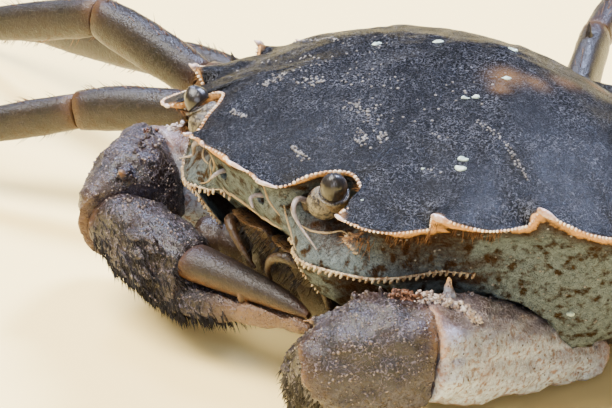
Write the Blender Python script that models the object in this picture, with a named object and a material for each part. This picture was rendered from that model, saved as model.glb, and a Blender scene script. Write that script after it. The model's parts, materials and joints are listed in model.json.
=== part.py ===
"""Chinese mitten crab, a river crab, as a still life-size model.

The body faces -Y, its left side is at +X and it stands on the floor, z = 0. Shapes are worked out
in body units: one unit is BODY_UNIT metres, the middle of the line through the outer orbital teeth
is the zero of x and y, and z = 0 is the level of that line.
"""

import math
import random
from dataclasses import dataclass

import bmesh
import bpy
from mathutils import Vector

# Driving dimensions in metres
CARAPACE_WIDTH = 0.066
BODY_UNIT = CARAPACE_WIDTH / 1.06
MEETING_GAP = 0.0003

# Height of the orbital line over the floor, and where the carapace's rays start, in body units
STANCE = 0.415
GAP = MEETING_GAP / BODY_UNIT
SHELL_MIDDLE = 0.47
DOME_HEIGHT = 0.117
DOME_FULLNESS = 2.0
BACK_DROP = 0.178
BACK_START = 0.40
BACK_RUN = 0.5
# Share of the way out where the margin's teeth begin to shape the dome, and the angle they are evened over
TEETH_START = 0.70
EVEN_ANGLE = 16.0

# Half outline of the carapace's rim, run by run between its corners, as x, y, z
FRONT_NOTCH = (0.0, -0.045, 0.012)
MEDIAN_TOOTH = (0.045, -0.067, 0.024)
FRONT_GAP = (0.086, -0.043, 0.010)
LATERAL_TOOTH = (0.124, -0.056, 0.014)
ORBIT_CORNER = (0.146, -0.022, 0.0)
ORBITAL_TOOTH = (0.288, -0.002, 0.0)
SECOND_TOOTH = (0.404, 0.112, 0.016)
THIRD_TOOTH = (0.462, 0.279, 0.012)
FOURTH_TOOTH = (0.528, 0.405, -0.030)
RIM_RUNS = (
    (FRONT_NOTCH, MEDIAN_TOOTH),
    (MEDIAN_TOOTH, FRONT_GAP),
    (FRONT_GAP, LATERAL_TOOTH),
    (LATERAL_TOOTH, ORBIT_CORNER),
    (ORBIT_CORNER, (0.164, 0.012, 0.022), (0.186, 0.048, 0.031), (0.216, 0.070, 0.033),
     (0.248, 0.068, 0.024), (0.276, 0.048, 0.010), ORBITAL_TOOTH),
    (ORBITAL_TOOTH, (0.330, 0.008, -0.007), (0.366, 0.050, -0.015), (0.381, 0.122, -0.018)),
    ((0.381, 0.122, -0.018), SECOND_TOOTH),
    (SECOND_TOOTH, (0.432, 0.150, 0.0), (0.450, 0.205, -0.015), (0.449, 0.266, -0.018)),
    ((0.449, 0.266, -0.018), THIRD_TOOTH),
    (THIRD_TOOTH, (0.490, 0.316, -0.014), (0.512, 0.362, -0.036), (0.514, 0.400, -0.045)),
    ((0.514, 0.400, -0.045), FOURTH_TOOTH),
    (FOURTH_TOOTH, (0.530, 0.470, -0.064), (0.511, 0.580, -0.090), (0.446, 0.730, -0.108),
     (0.350, 0.845, -0.116), (0.250, 0.908, -0.119), (0.130, 0.931, -0.119), (0.0, 0.935, -0.118)),
)
RIM_STEP = 0.034
LEAST_TURN = 0.25

# Side wall below the rim: at each ray angle in degrees, the radius and z of each level
WALL_LEVELS = {
    0: ((0.500, -0.012), (0.490, -0.035), (0.485, -0.060), (0.458, -0.112), (0.400, -0.130),
        (0.360, -0.200), (0.330, -0.265)),
    13: ((0.506, -0.012), (0.498, -0.035), (0.493, -0.060), (0.470, -0.112), (0.410, -0.130),
         (0.370, -0.200), (0.345, -0.265)),
    24: ((0.412, 0.000), (0.418, -0.034), (0.494, -0.058), (0.528, -0.112), (0.470, -0.130),
         (0.410, -0.200), (0.370, -0.265)),
    30: ((0.430, 0.000), (0.436, -0.034), (0.500, -0.060), (0.530, -0.112), (0.472, -0.131),
         (0.420, -0.200), (0.375, -0.268)),
    35: ((0.520, -0.018), (0.512, -0.040), (0.516, -0.062), (0.532, -0.112), (0.474, -0.132),
         (0.430, -0.200), (0.382, -0.270)),
    40: ((0.545, -0.025), (0.520, -0.050), (0.510, -0.078), (0.520, -0.112), (0.474, -0.132),
         (0.440, -0.200), (0.390, -0.275)),
    48: ((0.505, -0.030), (0.475, -0.055), (0.462, -0.082), (0.466, -0.112), (0.440, -0.132),
         (0.425, -0.200), (0.395, -0.280)),
    65: ((0.487, -0.033), (0.464, -0.060), (0.456, -0.090), (0.450, -0.125), (0.440, -0.160),
         (0.428, -0.220), (0.400, -0.285)),
    85: ((0.512, -0.064), (0.498, -0.092), (0.487, -0.122), (0.476, -0.156), (0.464, -0.190),
         (0.446, -0.240), (0.418, -0.285)),
    115: ((0.512, -0.118), (0.500, -0.138), (0.488, -0.158), (0.472, -0.180), (0.455, -0.205),
          (0.430, -0.242), (0.400, -0.280)),
    150: ((0.505, -0.132), (0.495, -0.148), (0.484, -0.164), (0.470, -0.182), (0.452, -0.202),
          (0.424, -0.232), (0.390, -0.262)),
    180: ((0.456, -0.133), (0.449, -0.146), (0.442, -0.160), (0.433, -0.175), (0.422, -0.192),
          (0.402, -0.213), (0.378, -0.235)),
}
# Tooth below the eye's outer corner, from foot to tip
LOWER_ORBIT_TOOTH = ((0.298, 0.066, -0.050), (0.287, 0.022, -0.047))
LOWER_ORBIT_TOOTH_RADIUS = 0.016
DOME_RINGS = (0.96, 0.90, 0.82, 0.72, 0.61, 0.49, 0.36, 0.22, 0.10)


@dataclass(frozen=True)
class Mound:
    """A low swelling or a groove of the carapace, mirrored to both sides unless x is 0."""

    x: float
    y: float
    rise: float
    wide: float
    long: float
    turn: float = 0.0

    def height(self, x, y):
        """Rise of this mound over one point."""
        total = 0.0
        for side in ((1,) if self.x == 0.0 else (1, -1)):
            across = x - side * self.x
            along = y - self.y
            angle = math.radians(side * self.turn)
            u = across * math.cos(angle) + along * math.sin(angle)
            v = along * math.cos(angle) - across * math.sin(angle)
            total += self.rise * math.exp(-(u / self.wide) ** 2 - (v / self.long) ** 2)
        return total


MOUNDS = (
    Mound(0.060, 0.040, 0.016, 0.036, 0.015, 12.0),
    Mound(0.082, 0.160, 0.013, 0.050, 0.040),
    Mound(0.165, 0.150, 0.010, 0.045, 0.040),
    Mound(0.0, 0.300, 0.008, 0.10, 0.12),
    Mound(0.150, 0.430, -0.017, 0.020, 0.110, -24.0),
    Mound(0.0, 0.560, -0.012, 0.110, 0.018),
    Mound(0.0, 0.660, 0.010, 0.090, 0.070),
    Mound(0.300, 0.330, 0.010, 0.060, 0.070),
    Mound(0.360, 0.480, 0.010, 0.120, 0.022, -28.0),
    Mound(0.280, 0.600, 0.012, 0.100, 0.120),
)


def place(x, y, z):
    """Body units to metres, with the floor at z = 0."""
    return Vector((x * BODY_UNIT, y * BODY_UNIT, (z + STANCE) * BODY_UNIT))


def catmull(points, steps):
    """Smooth points through a run of control points, steps to each span, without the last one."""
    if len(points) == 2:
        return [points[0].lerp(points[1], i / steps) for i in range(steps)]
    padded = [2 * points[0] - points[1], *points, 2 * points[-1] - points[-2]]
    out = []
    for a, b, c, d in zip(padded, padded[1:], padded[2:], padded[3:]):
        for i in range(steps):
            t = i / steps
            out.append(0.5 * (2 * b + (c - a) * t + (2 * a - 5 * b + 4 * c - d) * t * t
                              + (3 * b - a - 3 * c + d) * t ** 3))
    return out


def eased(t):
    """Smooth step from 0 to 1."""
    return t * t * (3 - 2 * t)


def rim_points():
    """The whole rim from the front notch round by the left side and back by the right side."""
    half = []
    for run in RIM_RUNS:
        points = [Vector(p) for p in run]
        longest = max((b - a).length for a, b in zip(points, points[1:]))
        half += catmull(points, max(1, round(longest / RIM_STEP)))
    half.append(Vector(RIM_RUNS[-1][-1]))
    steady = steady_angles(half)
    mirrored = [(Vector((-p.x, p.y, p.z)), -a) for p, a in zip(half, steady)]
    return list(zip(half, steady)) + mirrored[-2:0:-1]


def ray_angle(point):
    """Angle of a rim point's ray from straight ahead, in degrees."""
    return math.degrees(math.atan2(point.x, SHELL_MIDDLE - point.y))


def steady_angles(half):
    """Ray angles that only grow along the half rim, also where the orbital tooth curls inward."""
    raw = [ray_angle(p) for p in half]
    steady = [(max(raw[:i + 1]) + min(raw[i:])) / 2 for i in range(len(raw))]
    for i in range(1, len(steady) - 1):
        steady[i] = max(steady[i], steady[i - 1] + LEAST_TURN)
    return steady


def wall_level(angle, level):
    """Radius and z of one level of the side wall at a ray angle."""
    angle = abs(angle)
    stations = sorted(WALL_LEVELS)
    for low, high in zip(stations, stations[1:]):
        if angle <= high:
            mix = eased(max(0.0, (angle - low) / (high - low)))
            a, b = WALL_LEVELS[low][level], WALL_LEVELS[high][level]
            return a[0] + (b[0] - a[0]) * mix, a[1] + (b[1] - a[1]) * mix
    return WALL_LEVELS[stations[-1]][level]


def evened(rim):
    """Radius and height of the rim at each of its points, evened over the teeth and notches."""
    rows = [(a, math.hypot(p.x, p.y - SHELL_MIDDLE), p.z) for p, a in rim]
    out = []
    for angle, _, _ in rows:
        total = [0.0, 0.0, 0.0]
        for other, radius, z in rows:
            apart = (other - angle + 180) % 360 - 180
            weight = math.exp(-(apart / EVEN_ANGLE) ** 2)
            total = [t + weight * v for t, v in zip(total, (1.0, radius, z))]
        out.append((total[1] / total[0], total[2] / total[0]))
    return out


def dome_point(rim, steady, even, share):
    """Point of the carapace's top at a share of the way out to one rim point."""
    toothed = eased(min(1.0, max(0.0, (share - TEETH_START) / (1 - TEETH_START))))
    angle = math.radians(steady + (ray_angle(rim) - steady) * toothed)
    own = math.hypot(rim.x, rim.y - SHELL_MIDDLE)
    reach = share * (even[0] + (own - even[0]) * toothed)
    level = even[1] + (rim.z - even[1]) * toothed
    x = reach * math.sin(angle)
    y = SHELL_MIDDLE - reach * math.cos(angle)
    relief = sum(mound.height(x, y) for mound in MOUNDS)
    relief -= BACK_DROP * max(0.0, (y - BACK_START) / BACK_RUN) ** 2 * (1 - share ** 4)
    crown = level * share ** DOME_FULLNESS + DOME_HEIGHT * (1 - share ** DOME_FULLNESS)
    return Vector((x, y, crown + relief * min(1.0, (1 - share) * 8)))


def ring_mesh(name, rings, start_pole=None, end_pole=None):
    """One closed body through rings of equal length, closed at both ends by a fan.

    Rings run clockwise as seen from the start, so that the faces point out.
    """
    bm = bmesh.new()
    rows = [[bm.verts.new(p) for p in ring] for ring in rings]
    count = len(rings[0])
    for row, following in zip(rows, rows[1:]):
        for i in range(count):
            j = (i + 1) % count
            bm.faces.new((row[i], row[j], following[j], following[i]))
    for row, pole, turned in ((rows[0], start_pole, True), (rows[-1], end_pole, False)):
        middle = pole if pole is not None else sum((v.co for v in row), Vector()) / count
        tip = bm.verts.new(middle)
        for i in range(count):
            pair = (row[(i + 1) % count], row[i]) if turned else (row[i], row[(i + 1) % count])
            bm.faces.new((*pair, tip))
    bmesh.ops.triangulate(bm, faces=bm.faces[:])
    bmesh.ops.recalc_face_normals(bm, faces=bm.faces[:])
    mesh = bpy.data.meshes.new(name)
    bm.to_mesh(mesh)
    bm.free()
    return bpy.data.objects.new(name, mesh)


def join_all(base, pieces, operation="UNION", solver="EXACT"):
    """Fuse closed pieces with the base, or cut them out of it, and keep its largest surface."""
    group = bpy.data.collections.new(base.name + "_pieces")
    bpy.context.scene.collection.children.link(group)
    bpy.context.scene.collection.objects.link(base)
    for piece in pieces:
        piece.hide_render = True
        piece.display_type = "WIRE"
        group.objects.link(piece)
    modifier = base.modifiers.new("join", "BOOLEAN")
    modifier.operation = operation
    modifier.operand_type = "COLLECTION"
    modifier.collection = group
    modifier.solver = solver
    graph = bpy.context.evaluated_depsgraph_get()
    graph.update()
    mesh = bpy.data.meshes.new_from_object(base.evaluated_get(graph))
    base.modifiers.clear()
    base.data = mesh
    bpy.context.scene.collection.objects.unlink(base)
    for piece in pieces:
        bpy.data.objects.remove(piece)
    bpy.data.collections.remove(group)
    keep_largest(mesh)


def keep_largest(mesh):
    """Merge doubled points and drop every loose surface but the largest."""
    bm = bmesh.new()
    bm.from_mesh(mesh)
    bmesh.ops.triangulate(bm, faces=bm.faces[:])
    bmesh.ops.remove_doubles(bm, verts=bm.verts[:], dist=0.000002)
    bmesh.ops.dissolve_degenerate(bm, edges=bm.edges[:], dist=0.000002)
    bmesh.ops.triangulate(bm, faces=bm.faces[:])
    unseen = set(bm.verts)
    shells = []
    while unseen:
        stack = [unseen.pop()]
        shell = set(stack)
        while stack:
            for edge in stack.pop().link_edges:
                for vert in edge.verts:
                    if vert in unseen:
                        unseen.discard(vert)
                        shell.add(vert)
                        stack.append(vert)
        shells.append(shell)
    largest = max(shells, key=len)
    loose = [v for v in bm.verts if v not in largest]
    bmesh.ops.delete(bm, geom=loose, context="VERTS")
    bm.to_mesh(mesh)
    bm.free()


@dataclass
class Limb:
    """A tapered segment between two joint planes.

    stations are (share of the length, half height, half width, bow), all in body units.
    """

    name: str
    start: Vector
    end: Vector
    stations: tuple
    start_plane: Vector = None
    end_plane: Vector = None
    up: Vector = Vector((0, 0, 1))
    sides: int = 10
    squareness: float = 2.0

    def axis(self):
        """Unit direction from start to end."""
        return (self.end - self.start).normalized()

    def frame(self):
        """Side and up directions at right angles to the axis."""
        axis = self.axis()
        side = axis.cross(self.up).normalized()
        return side, side.cross(axis).normalized()

    def outline(self, height, width, grow):
        """Offsets of one cross-section round the axis."""
        side, rise = self.frame()
        out = []
        for i in range(self.sides):
            angle = 2 * math.pi * (i + 0.5) / self.sides
            c, s = math.cos(angle), math.sin(angle)
            power = 2 / self.squareness
            x = math.copysign(abs(c) ** power, c) * (width + grow)
            z = math.copysign(abs(s) ** power, s) * (height + grow)
            out.append(side * x + rise * z)
        return out

    def spot(self, share, inward, upward, hand):
        """A point beside the axis. hand is 1 or -1, so that inward means toward the body's middle."""
        side, rise = self.frame()
        inner = side if side.x * hand < 0 else -side
        return self.start.lerp(self.end, share) + inner * inward + rise * upward

    def skin_point(self, share, around, lift):
        """A point over the surface, at degrees round the axis, and the way out from there."""
        side, rise = self.frame()
        rows = self.stations
        low = max(row for row in rows if row[0] <= share)
        high = min(row for row in rows if row[0] > share)
        mix = (share - low[0]) / (high[0] - low[0])
        height = low[1] + (high[1] - low[1]) * mix
        width = low[2] + (high[2] - low[2]) * mix
        angle = math.radians(around)
        out = side * math.cos(angle) * width + rise * math.sin(angle) * height
        return self.start.lerp(self.end, share) + out + out.normalized() * lift, out.normalized()

    def lock(self, share, around, reach):
        """One flat tapered lock of fur, lying along the surface toward the segment's end."""
        axis = self.axis()
        length = (self.end - self.start).length
        rings = []
        for along, lift, size in LOCK_ROWS:
            middle, out = self.skin_point(share + along * reach / length, around, lift)
            across = axis.cross(out)
            ring = []
            for i in range(LOCK_SIDES):
                angle = 2 * math.pi * (i + 0.5) / LOCK_SIDES
                flat = across * math.cos(angle) * LOCK_HALF_WIDTH
                thick = out * math.sin(angle) * LOCK_HALF_DEPTH
                ring.append(place(*(middle + (flat + thick) * size)))
            rings.append(ring)
        return ring_mesh("lock", rings)

    def rings(self, grow=0.0, reach=0.0):
        """Rings in body units. grow fattens the segment, and reach lengthens both of its ends."""
        axis = self.axis()
        _, rise = self.frame()
        planes = (self.start_plane or axis, self.end_plane or axis)
        rings = []
        for share, height, width, bow in self.stations:
            trim = (GAP / 2 - reach) * (1 - 2 * share)
            middle = self.start.lerp(self.end, share) + axis * trim + rise * bow
            pull = (max(0.0, 1 - 2 * share), max(0.0, 2 * share - 1))
            ring = []
            for offset in self.outline(height, width, grow):
                slide = sum(-offset.dot(n) / axis.dot(n) * w * w for n, w in zip(planes, pull))
                ring.append(middle + offset + axis * slide)
            rings.append(ring)
        return rings

    def solid(self, grow=0.0, reach=0.0, name=None):
        """The segment as a closed object."""
        rings = [[place(*p) for p in ring] for ring in self.rings(grow, reach)]
        return ring_mesh(name or self.name, rings)


def spike(name, foot, tip, radius, sides=6):
    """A cone from a root sunk in its node to a small blunt tip."""
    axis = (tip - foot).normalized()
    side = axis.orthogonal().normalized()
    rise = axis.cross(side)
    rings = []
    for share, size in ((0.0, 1.0), (0.55, 0.62), (0.94, 0.16)):
        middle = foot.lerp(tip, share)
        ring = []
        for i in range(sides):
            angle = 2 * math.pi * i / sides
            offset = (side * math.cos(angle) + rise * math.sin(angle)) * size * radius
            ring.append(place(*(middle + offset)))
        rings.append(ring)
    return ring_mesh(name, rings, end_pole=place(*tip))


@dataclass(frozen=True)
class Finish:
    """Colour and gloss of a part."""

    name: str
    color: tuple
    roughness: float

    def material(self):
        """The Principled material of this finish, made once."""
        found = bpy.data.materials.get(self.name)
        if found:
            return found
        made = bpy.data.materials.new(self.name)
        made.use_nodes = True
        shader = made.node_tree.nodes["Principled BSDF"]
        shader.inputs["Base Color"].default_value = (*self.color, 1.0)
        shader.inputs["Roughness"].default_value = self.roughness
        shader.inputs["Metallic"].default_value = 0.0
        return made


SHELL = Finish("wet_shell", (0.045, 0.048, 0.065), 0.32)
UNDERSIDE = Finish("pale_underside", (0.48, 0.46, 0.36), 0.42)
LIMB_SHELL = Finish("limb_shell", (0.14, 0.10, 0.075), 0.36)
CLAW_TIP = Finish("claw_tip", (0.42, 0.26, 0.12), 0.34)
CORNEA = Finish("cornea", (0.06, 0.05, 0.045), 0.12)
FEELER = Finish("feeler", (0.46, 0.33, 0.27), 0.4)


def add_part(parts, obj, finish):
    """Give an object its finish and keep it in the crab's collection."""
    obj.data.materials.clear()
    obj.data.materials.append(finish.material())
    parts.objects.link(obj)
    return obj


# Walking legs: lengths of the four segments and their half heights, in body units
@dataclass(frozen=True)
class LegBuild:
    """Segment lengths and the merus's half height of one pair of walking legs."""

    coxa: tuple
    lengths: tuple
    depth: float


LEG_BUILDS = (
    LegBuild((0.250, 0.500, -0.325), (0.50, 0.25, 0.38, 0.33), 0.066),
    LegBuild((0.255, 0.585, -0.325), (0.62, 0.27, 0.43, 0.36), 0.072),
    LegBuild((0.240, 0.665, -0.325), (0.60, 0.26, 0.44, 0.36), 0.070),
    LegBuild((0.200, 0.740, -0.322), (0.47, 0.21, 0.34, 0.30), 0.060),
)


@dataclass(frozen=True)
class LegPose:
    """Headings of one leg, in degrees: forward of straight out, and the rise of each segment."""

    forward: float
    sweep: float
    rises: tuple


POSES = {
    "right": (
        LegPose(31.0, 5.0, (16.5, -8.0, -16.0)),
        LegPose(22.0, 2.0, (12.0, 18.0, -14.0)),
        LegPose(18.0, -4.0, (8.6, 0.0, -8.0)),
        LegPose(-47.0, -4.0, (24.0, 2.0, -22.0)),
    ),
    "left": (
        LegPose(-22.0, 4.0, (17.0, 2.0, -16.0)),
        LegPose(-34.0, 2.0, (18.0, 4.0, -16.0)),
        LegPose(-46.0, -2.0, (18.0, 0.0, -16.0)),
        LegPose(-62.0, -6.0, (21.0, 2.0, -20.0)),
    ),
}
MERUS_SHAPE = ((0.0, 0.52, 0.42, 0.0), (0.12, 0.56, 0.46, 0.0), (0.35, 0.86, 0.56, 0.006),
               (0.62, 1.00, 0.58, 0.008), (0.86, 0.92, 0.56, 0.002), (1.0, 0.74, 0.54, 0.0))
CARPUS_SHAPE = ((0.0, 0.62, 0.50, 0.0), (0.2, 0.66, 0.54, 0.004), (0.7, 0.74, 0.58, 0.006),
                (1.0, 0.62, 0.50, 0.0))
PROPODUS_SHAPE = ((0.0, 0.56, 0.44, 0.0), (0.25, 0.62, 0.42, 0.0), (0.7, 0.50, 0.36, 0.0),
                  (1.0, 0.36, 0.30, 0.0))
DACTYLUS_SHAPE = ((0.0, 0.34, 0.28, 0.0), (0.3, 0.29, 0.23, 0.009), (0.65, 0.20, 0.16, 0.011),
                  (0.9, 0.12, 0.11, 0.004), (1.0, 0.10, 0.10, 0.0))
FLOOR_NORMAL = Vector((0, 0, 1))
# Spine of a walking leg's merus: shares along it of its foot and tip, and its radius per depth
MERUS_SPINE = (0.86, 0.92, 0.16)


def shape(rows, depth):
    """Stations of a segment from its shape's shares of the limb's depth."""
    return tuple((share, high * depth, wide * depth, bow) for share, high, wide, bow in rows)


def heading(side, forward, rise):
    """Unit direction from degrees forward of straight out and degrees of rise."""
    f, r = math.radians(forward), math.radians(rise)
    return Vector((side * math.cos(f) * math.cos(r), -math.sin(f) * math.cos(r), math.sin(r)))


def between(a, b):
    """Normal of the joint plane between two segment directions."""
    return (a + b).normalized()


def leg_points(side, build, pose):
    """Joint centres of a walking leg, from the coxa to the tip on the floor."""
    x, y, z = build.coxa
    points = [Vector((side * x, y, z))]
    for i, (length, rise) in enumerate(zip(build.lengths, pose.rises)):
        points.append(points[-1] + heading(side, pose.forward + i * pose.sweep, rise) * length)
    fall = math.degrees(math.asin((points[-1].z + STANCE) / build.lengths[3]))
    forward = pose.forward + 3 * pose.sweep
    points.append(points[-1] + heading(side, forward, -fall) * build.lengths[3])
    return points


def leg_merus(limb):
    """A walking leg's merus with the spine at the far end of its upper edge."""
    merus = limb.solid()
    depth = max(row[1] for row in limb.stations)
    foot = limb.spot(MERUS_SPINE[0], 0.0, depth * 0.55, 1)
    tip = limb.spot(MERUS_SPINE[1], 0.0, depth * 1.32, 1)
    join_all(merus, [spike("spine", foot, tip, depth * MERUS_SPINE[2], 5)])
    return merus


def leg_limbs(label, side, number):
    """The four segments of one walking leg as limbs."""
    build = LEG_BUILDS[number]
    points = leg_points(side, build, POSES[label][number])
    axes = [(b - a).normalized() for a, b in zip(points, points[1:])]
    planes = [axes[0]] + [between(a, b) for a, b in zip(axes, axes[1:])] + [FLOOR_NORMAL]
    names = ("merus", "carpus", "propodus", "dactylus")
    shapes = (MERUS_SHAPE, CARPUS_SHAPE, PROPODUS_SHAPE, DACTYLUS_SHAPE)
    limbs = []
    for i, (name, rows) in enumerate(zip(names, shapes)):
        limb = Limb(f"leg_{label}_{number + 1}_{name}", points[i], points[i + 1],
                    shape(rows, build.depth), planes[i], planes[i + 1], squareness=2.3)
        limbs.append(limb)
    return limbs


# Claw legs: joint centres, from the coxa to the finger tips, in body units
CLAW_POINTS = {
    "left": ((0.190, 0.345, -0.330), (0.330, 0.440, -0.333), (0.428, 0.078, -0.205),
             (0.349, -0.039, -0.240), (0.200, 0.015, -0.333), (0.005, 0.150, -0.362)),
    "right": ((-0.190, 0.345, -0.330), (-0.285, 0.375, -0.330), (-0.482, 0.070, -0.205),
              (-0.377, -0.057, -0.240), (-0.142, -0.034, -0.270), (0.128, 0.042, -0.262)),
}
CLAW_MERUS = ((0.0, 0.050, 0.046, 0.0), (0.12, 0.054, 0.050, 0.0), (0.40, 0.080, 0.062, 0.004),
              (0.75, 0.096, 0.070, 0.002), (1.0, 0.084, 0.072, 0.0))
CLAW_CARPUS = ((0.0, 0.086, 0.070, 0.0), (0.25, 0.100, 0.084, 0.006), (0.65, 0.104, 0.092, 0.006),
               (1.0, 0.078, 0.070, 0.0))
PALM = ((0.0, 0.064, 0.052, 0.0), (0.25, 0.078, 0.062, 0.0), (0.65, 0.080, 0.062, 0.0),
        (1.0, 0.070, 0.052, 0.0))
FINGER = ((0.0, 0.036, 0.044, 0.0), (0.35, 0.033, 0.034, 0.004), (0.75, 0.023, 0.023, 0.006),
          (0.93, 0.013, 0.013, 0.002), (1.0, 0.006, 0.006, -0.002))
# Spines and tubercles of the claw leg, as share of the segment, inward and upward offsets
WRIST_SPINES = {
    "left": ((0.86, 0.017, 0.070), (1.24, 0.015, 0.088)),
    "right": ((0.74, 0.010, 0.078), (1.02, 0.012, 0.112)),
}
WRIST_SPINE_RADIUS = 0.020
WRIST_TUBERCLES = (0.12, 0.27, 0.42, 0.57)
ARM_TUBERCLES = (0.76,)
TUBERCLE_ROOT = 0.078
TUBERCLE_TOP = 0.120
TUBERCLE_RADIUS = 0.010
# Locks of the mitten: faces and spread in degrees round the palm, and sizes in body units
LOCK_FACES = (0.0, 180.0)
LOCK_SHARES = (0.36, 0.49, 0.62)
LOCK_SPREAD = 32.0
LOCK_REACH = 0.058
LOCK_HALF_WIDTH = 0.014
LOCK_HALF_DEPTH = 0.0065
LOCK_SIDES = 6
MITTEN_SEED = 41
LOCK_ROWS = ((0.0, -0.006, 0.8), (0.35, 0.001, 1.0), (0.75, 0.005, 0.62), (1.0, 0.007, 0.14))
COXA = ((0.0, 0.044, 0.046, 0.0), (1.0, 0.048, 0.046, 0.0))


@dataclass
class Claw:
    """One claw leg, folded in front of the mouth."""

    label: str

    def __post_init__(self):
        self.side = 1 if self.label == "left" else -1
        self.points = [Vector(p) for p in CLAW_POINTS[self.label]]
        self.axes = [(b - a).normalized() for a, b in zip(self.points, self.points[1:])]
        self.planes = [self.axes[0]] + [between(a, b) for a, b in zip(self.axes, self.axes[1:])]

    def limb(self, part, index, rows, **more):
        """One segment between two of the joint centres."""
        ends = self.planes + [self.axes[-1]]
        return Limb(f"claw_{self.label}_{part}", self.points[index], self.points[index + 1], rows,
                    ends[index], ends[index + 1], sides=12, **more)

    def coxa(self):
        """Short first segments that carry the claw leg."""
        return self.limb("coxa", 0, COXA)

    def merus(self):
        """Long segment up to the elbow."""
        return self.limb("merus", 1, CLAW_MERUS, squareness=2.3)

    def carpus(self):
        """Round wrist segment."""
        return self.limb("carpus", 2, CLAW_CARPUS, squareness=2.4)

    def palm(self):
        """Swollen part of the claw."""
        return self.limb("palm", 3, PALM, squareness=2.2)

    def finger(self, part, drop):
        """A finger, moved down by drop at its root so that the two meet at their tips."""
        axis = self.axes[4]
        rise = axis.cross(Vector((0, 0, 1))).normalized().cross(axis)
        start = self.points[4] + rise * drop
        end = self.points[5] + rise * drop * 0.35
        limb = Limb(f"claw_{self.label}_{part}", start, end, FINGER, self.planes[4], None, sides=8)
        return limb

    def solids(self):
        """The claw leg's objects."""
        merus = self.merus().solid()
        carpus = self.carpus().solid()
        palm = self.palm().solid()
        fixed = self.finger("fixed", -0.034)
        fixed.start -= self.axes[4] * 0.03
        join_all(palm, [fixed.solid()])
        upper = self.finger("dactylus", 0.036)
        join_all(palm, [upper.solid(GAP, GAP, "cut")], "DIFFERENCE")
        dactylus = upper.solid()
        join_all(palm, self.mitten(random.Random(MITTEN_SEED + self.side)))
        join_all(carpus, self.carpus_spines())
        join_all(merus, self.merus_spines())
        return [(self.coxa().solid(), LIMB_SHELL), (merus, LIMB_SHELL), (carpus, LIMB_SHELL),
                (palm, LIMB_SHELL), (dactylus, CLAW_TIP)]

    def carpus_spines(self):
        """The strong spine at the wrist's inner corner and the tubercles along its upper edge."""
        limb = self.carpus()
        foot, tip = (limb.spot(*spot, self.side) for spot in WRIST_SPINES[self.label])
        pieces = [spike("spine", foot, tip, WRIST_SPINE_RADIUS)]
        for share in WRIST_TUBERCLES:
            foot = limb.spot(share, 0.012, TUBERCLE_ROOT, self.side)
            tip = limb.spot(share + 0.03, 0.016, TUBERCLE_TOP, self.side)
            pieces.append(spike("tubercle", foot, tip, TUBERCLE_RADIUS, 5))
        return pieces

    def merus_spines(self):
        """The spine near the far end of the merus's upper edge and the tubercles behind it."""
        limb = self.merus()
        pieces = [spike("spine", limb.spot(0.86, 0.010, 0.070, self.side),
                        limb.spot(0.90, 0.014, 0.122, self.side), 0.015)]
        for share in ARM_TUBERCLES:
            pieces.append(spike("tubercle", limb.spot(share, 0.0, 0.066, self.side),
                                limb.spot(share + 0.01, 0.0, 0.101, self.side), TUBERCLE_RADIUS, 5))
        return pieces

    def mitten(self, random_source):
        """The flat tapered locks of dark fur on both faces of the palm, lying toward the fingers."""
        limb = self.palm()
        locks = []
        for face in LOCK_FACES:
            for row, share in enumerate(LOCK_SHARES):
                for step in range(-1, 2):
                    around = face + LOCK_SPREAD * (step + 0.5 * (row % 2)) + random_source.uniform(-4, 4)
                    reach = LOCK_REACH * random_source.uniform(0.85, 1.1)
                    locks.append(limb.lock(share, around, reach))
        return locks


def build_carapace():
    """The shell's dome, toothed rim and side walls as one closed body."""
    rim = rim_points()
    even = evened(rim)
    rings = [[place(*dome_point(p, a, e, share)) for (p, a), e in zip(rim, even)]
             for share in reversed(DOME_RINGS)]
    rings.append([place(*p) for p, _ in rim])
    for level in range(len(WALL_LEVELS[0])):
        ring = []
        for _, steady in rim:
            radius, z = wall_level(steady, level)
            a = math.radians(steady)
            ring.append(place(radius * math.sin(a), SHELL_MIDDLE - radius * math.cos(a), z))
        rings.append(ring)
    centre = place(*dome_point(*rim[0], even[0], 0.0))
    carapace = ring_mesh("carapace", rings, start_pole=centre)
    teeth = []
    for side in (1, -1):
        foot, tip = (Vector((side * x, y, z)) for x, y, z in LOWER_ORBIT_TOOTH)
        teeth.append(spike("tooth", foot, tip, LOWER_ORBIT_TOOTH_RADIUS, 5))
    join_all(carapace, teeth)
    return carapace


# Breast plates, row by row from the front: y, half width and depth
THORAX_ROWS = ((0.155, 0.115, 0.020), (0.22, 0.190, 0.050), (0.34, 0.262, 0.066),
               (0.48, 0.290, 0.072), (0.62, 0.272, 0.070), (0.74, 0.215, 0.062), (0.82, 0.150, 0.048))
THORAX_MIDDLE = -0.302
THORAX_RISE = 0.026
THORAX_SIDES = 14


def build_thorax():
    """The breast plates under the body, from which the legs grow."""
    rings = []
    for y, half, deep in THORAX_ROWS:
        ring = []
        for i in range(THORAX_SIDES):
            angle = 2 * math.pi * (i + 0.5) / THORAX_SIDES
            c, s = math.cos(angle), math.sin(angle)
            x = math.copysign(abs(c) ** 0.7, c) * half
            z = THORAX_MIDDLE + s * (THORAX_RISE if s > 0 else deep - 0.02)
            ring.append(place(x, y, z))
        rings.append(ring)
    return ring_mesh("thorax", rings)


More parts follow.
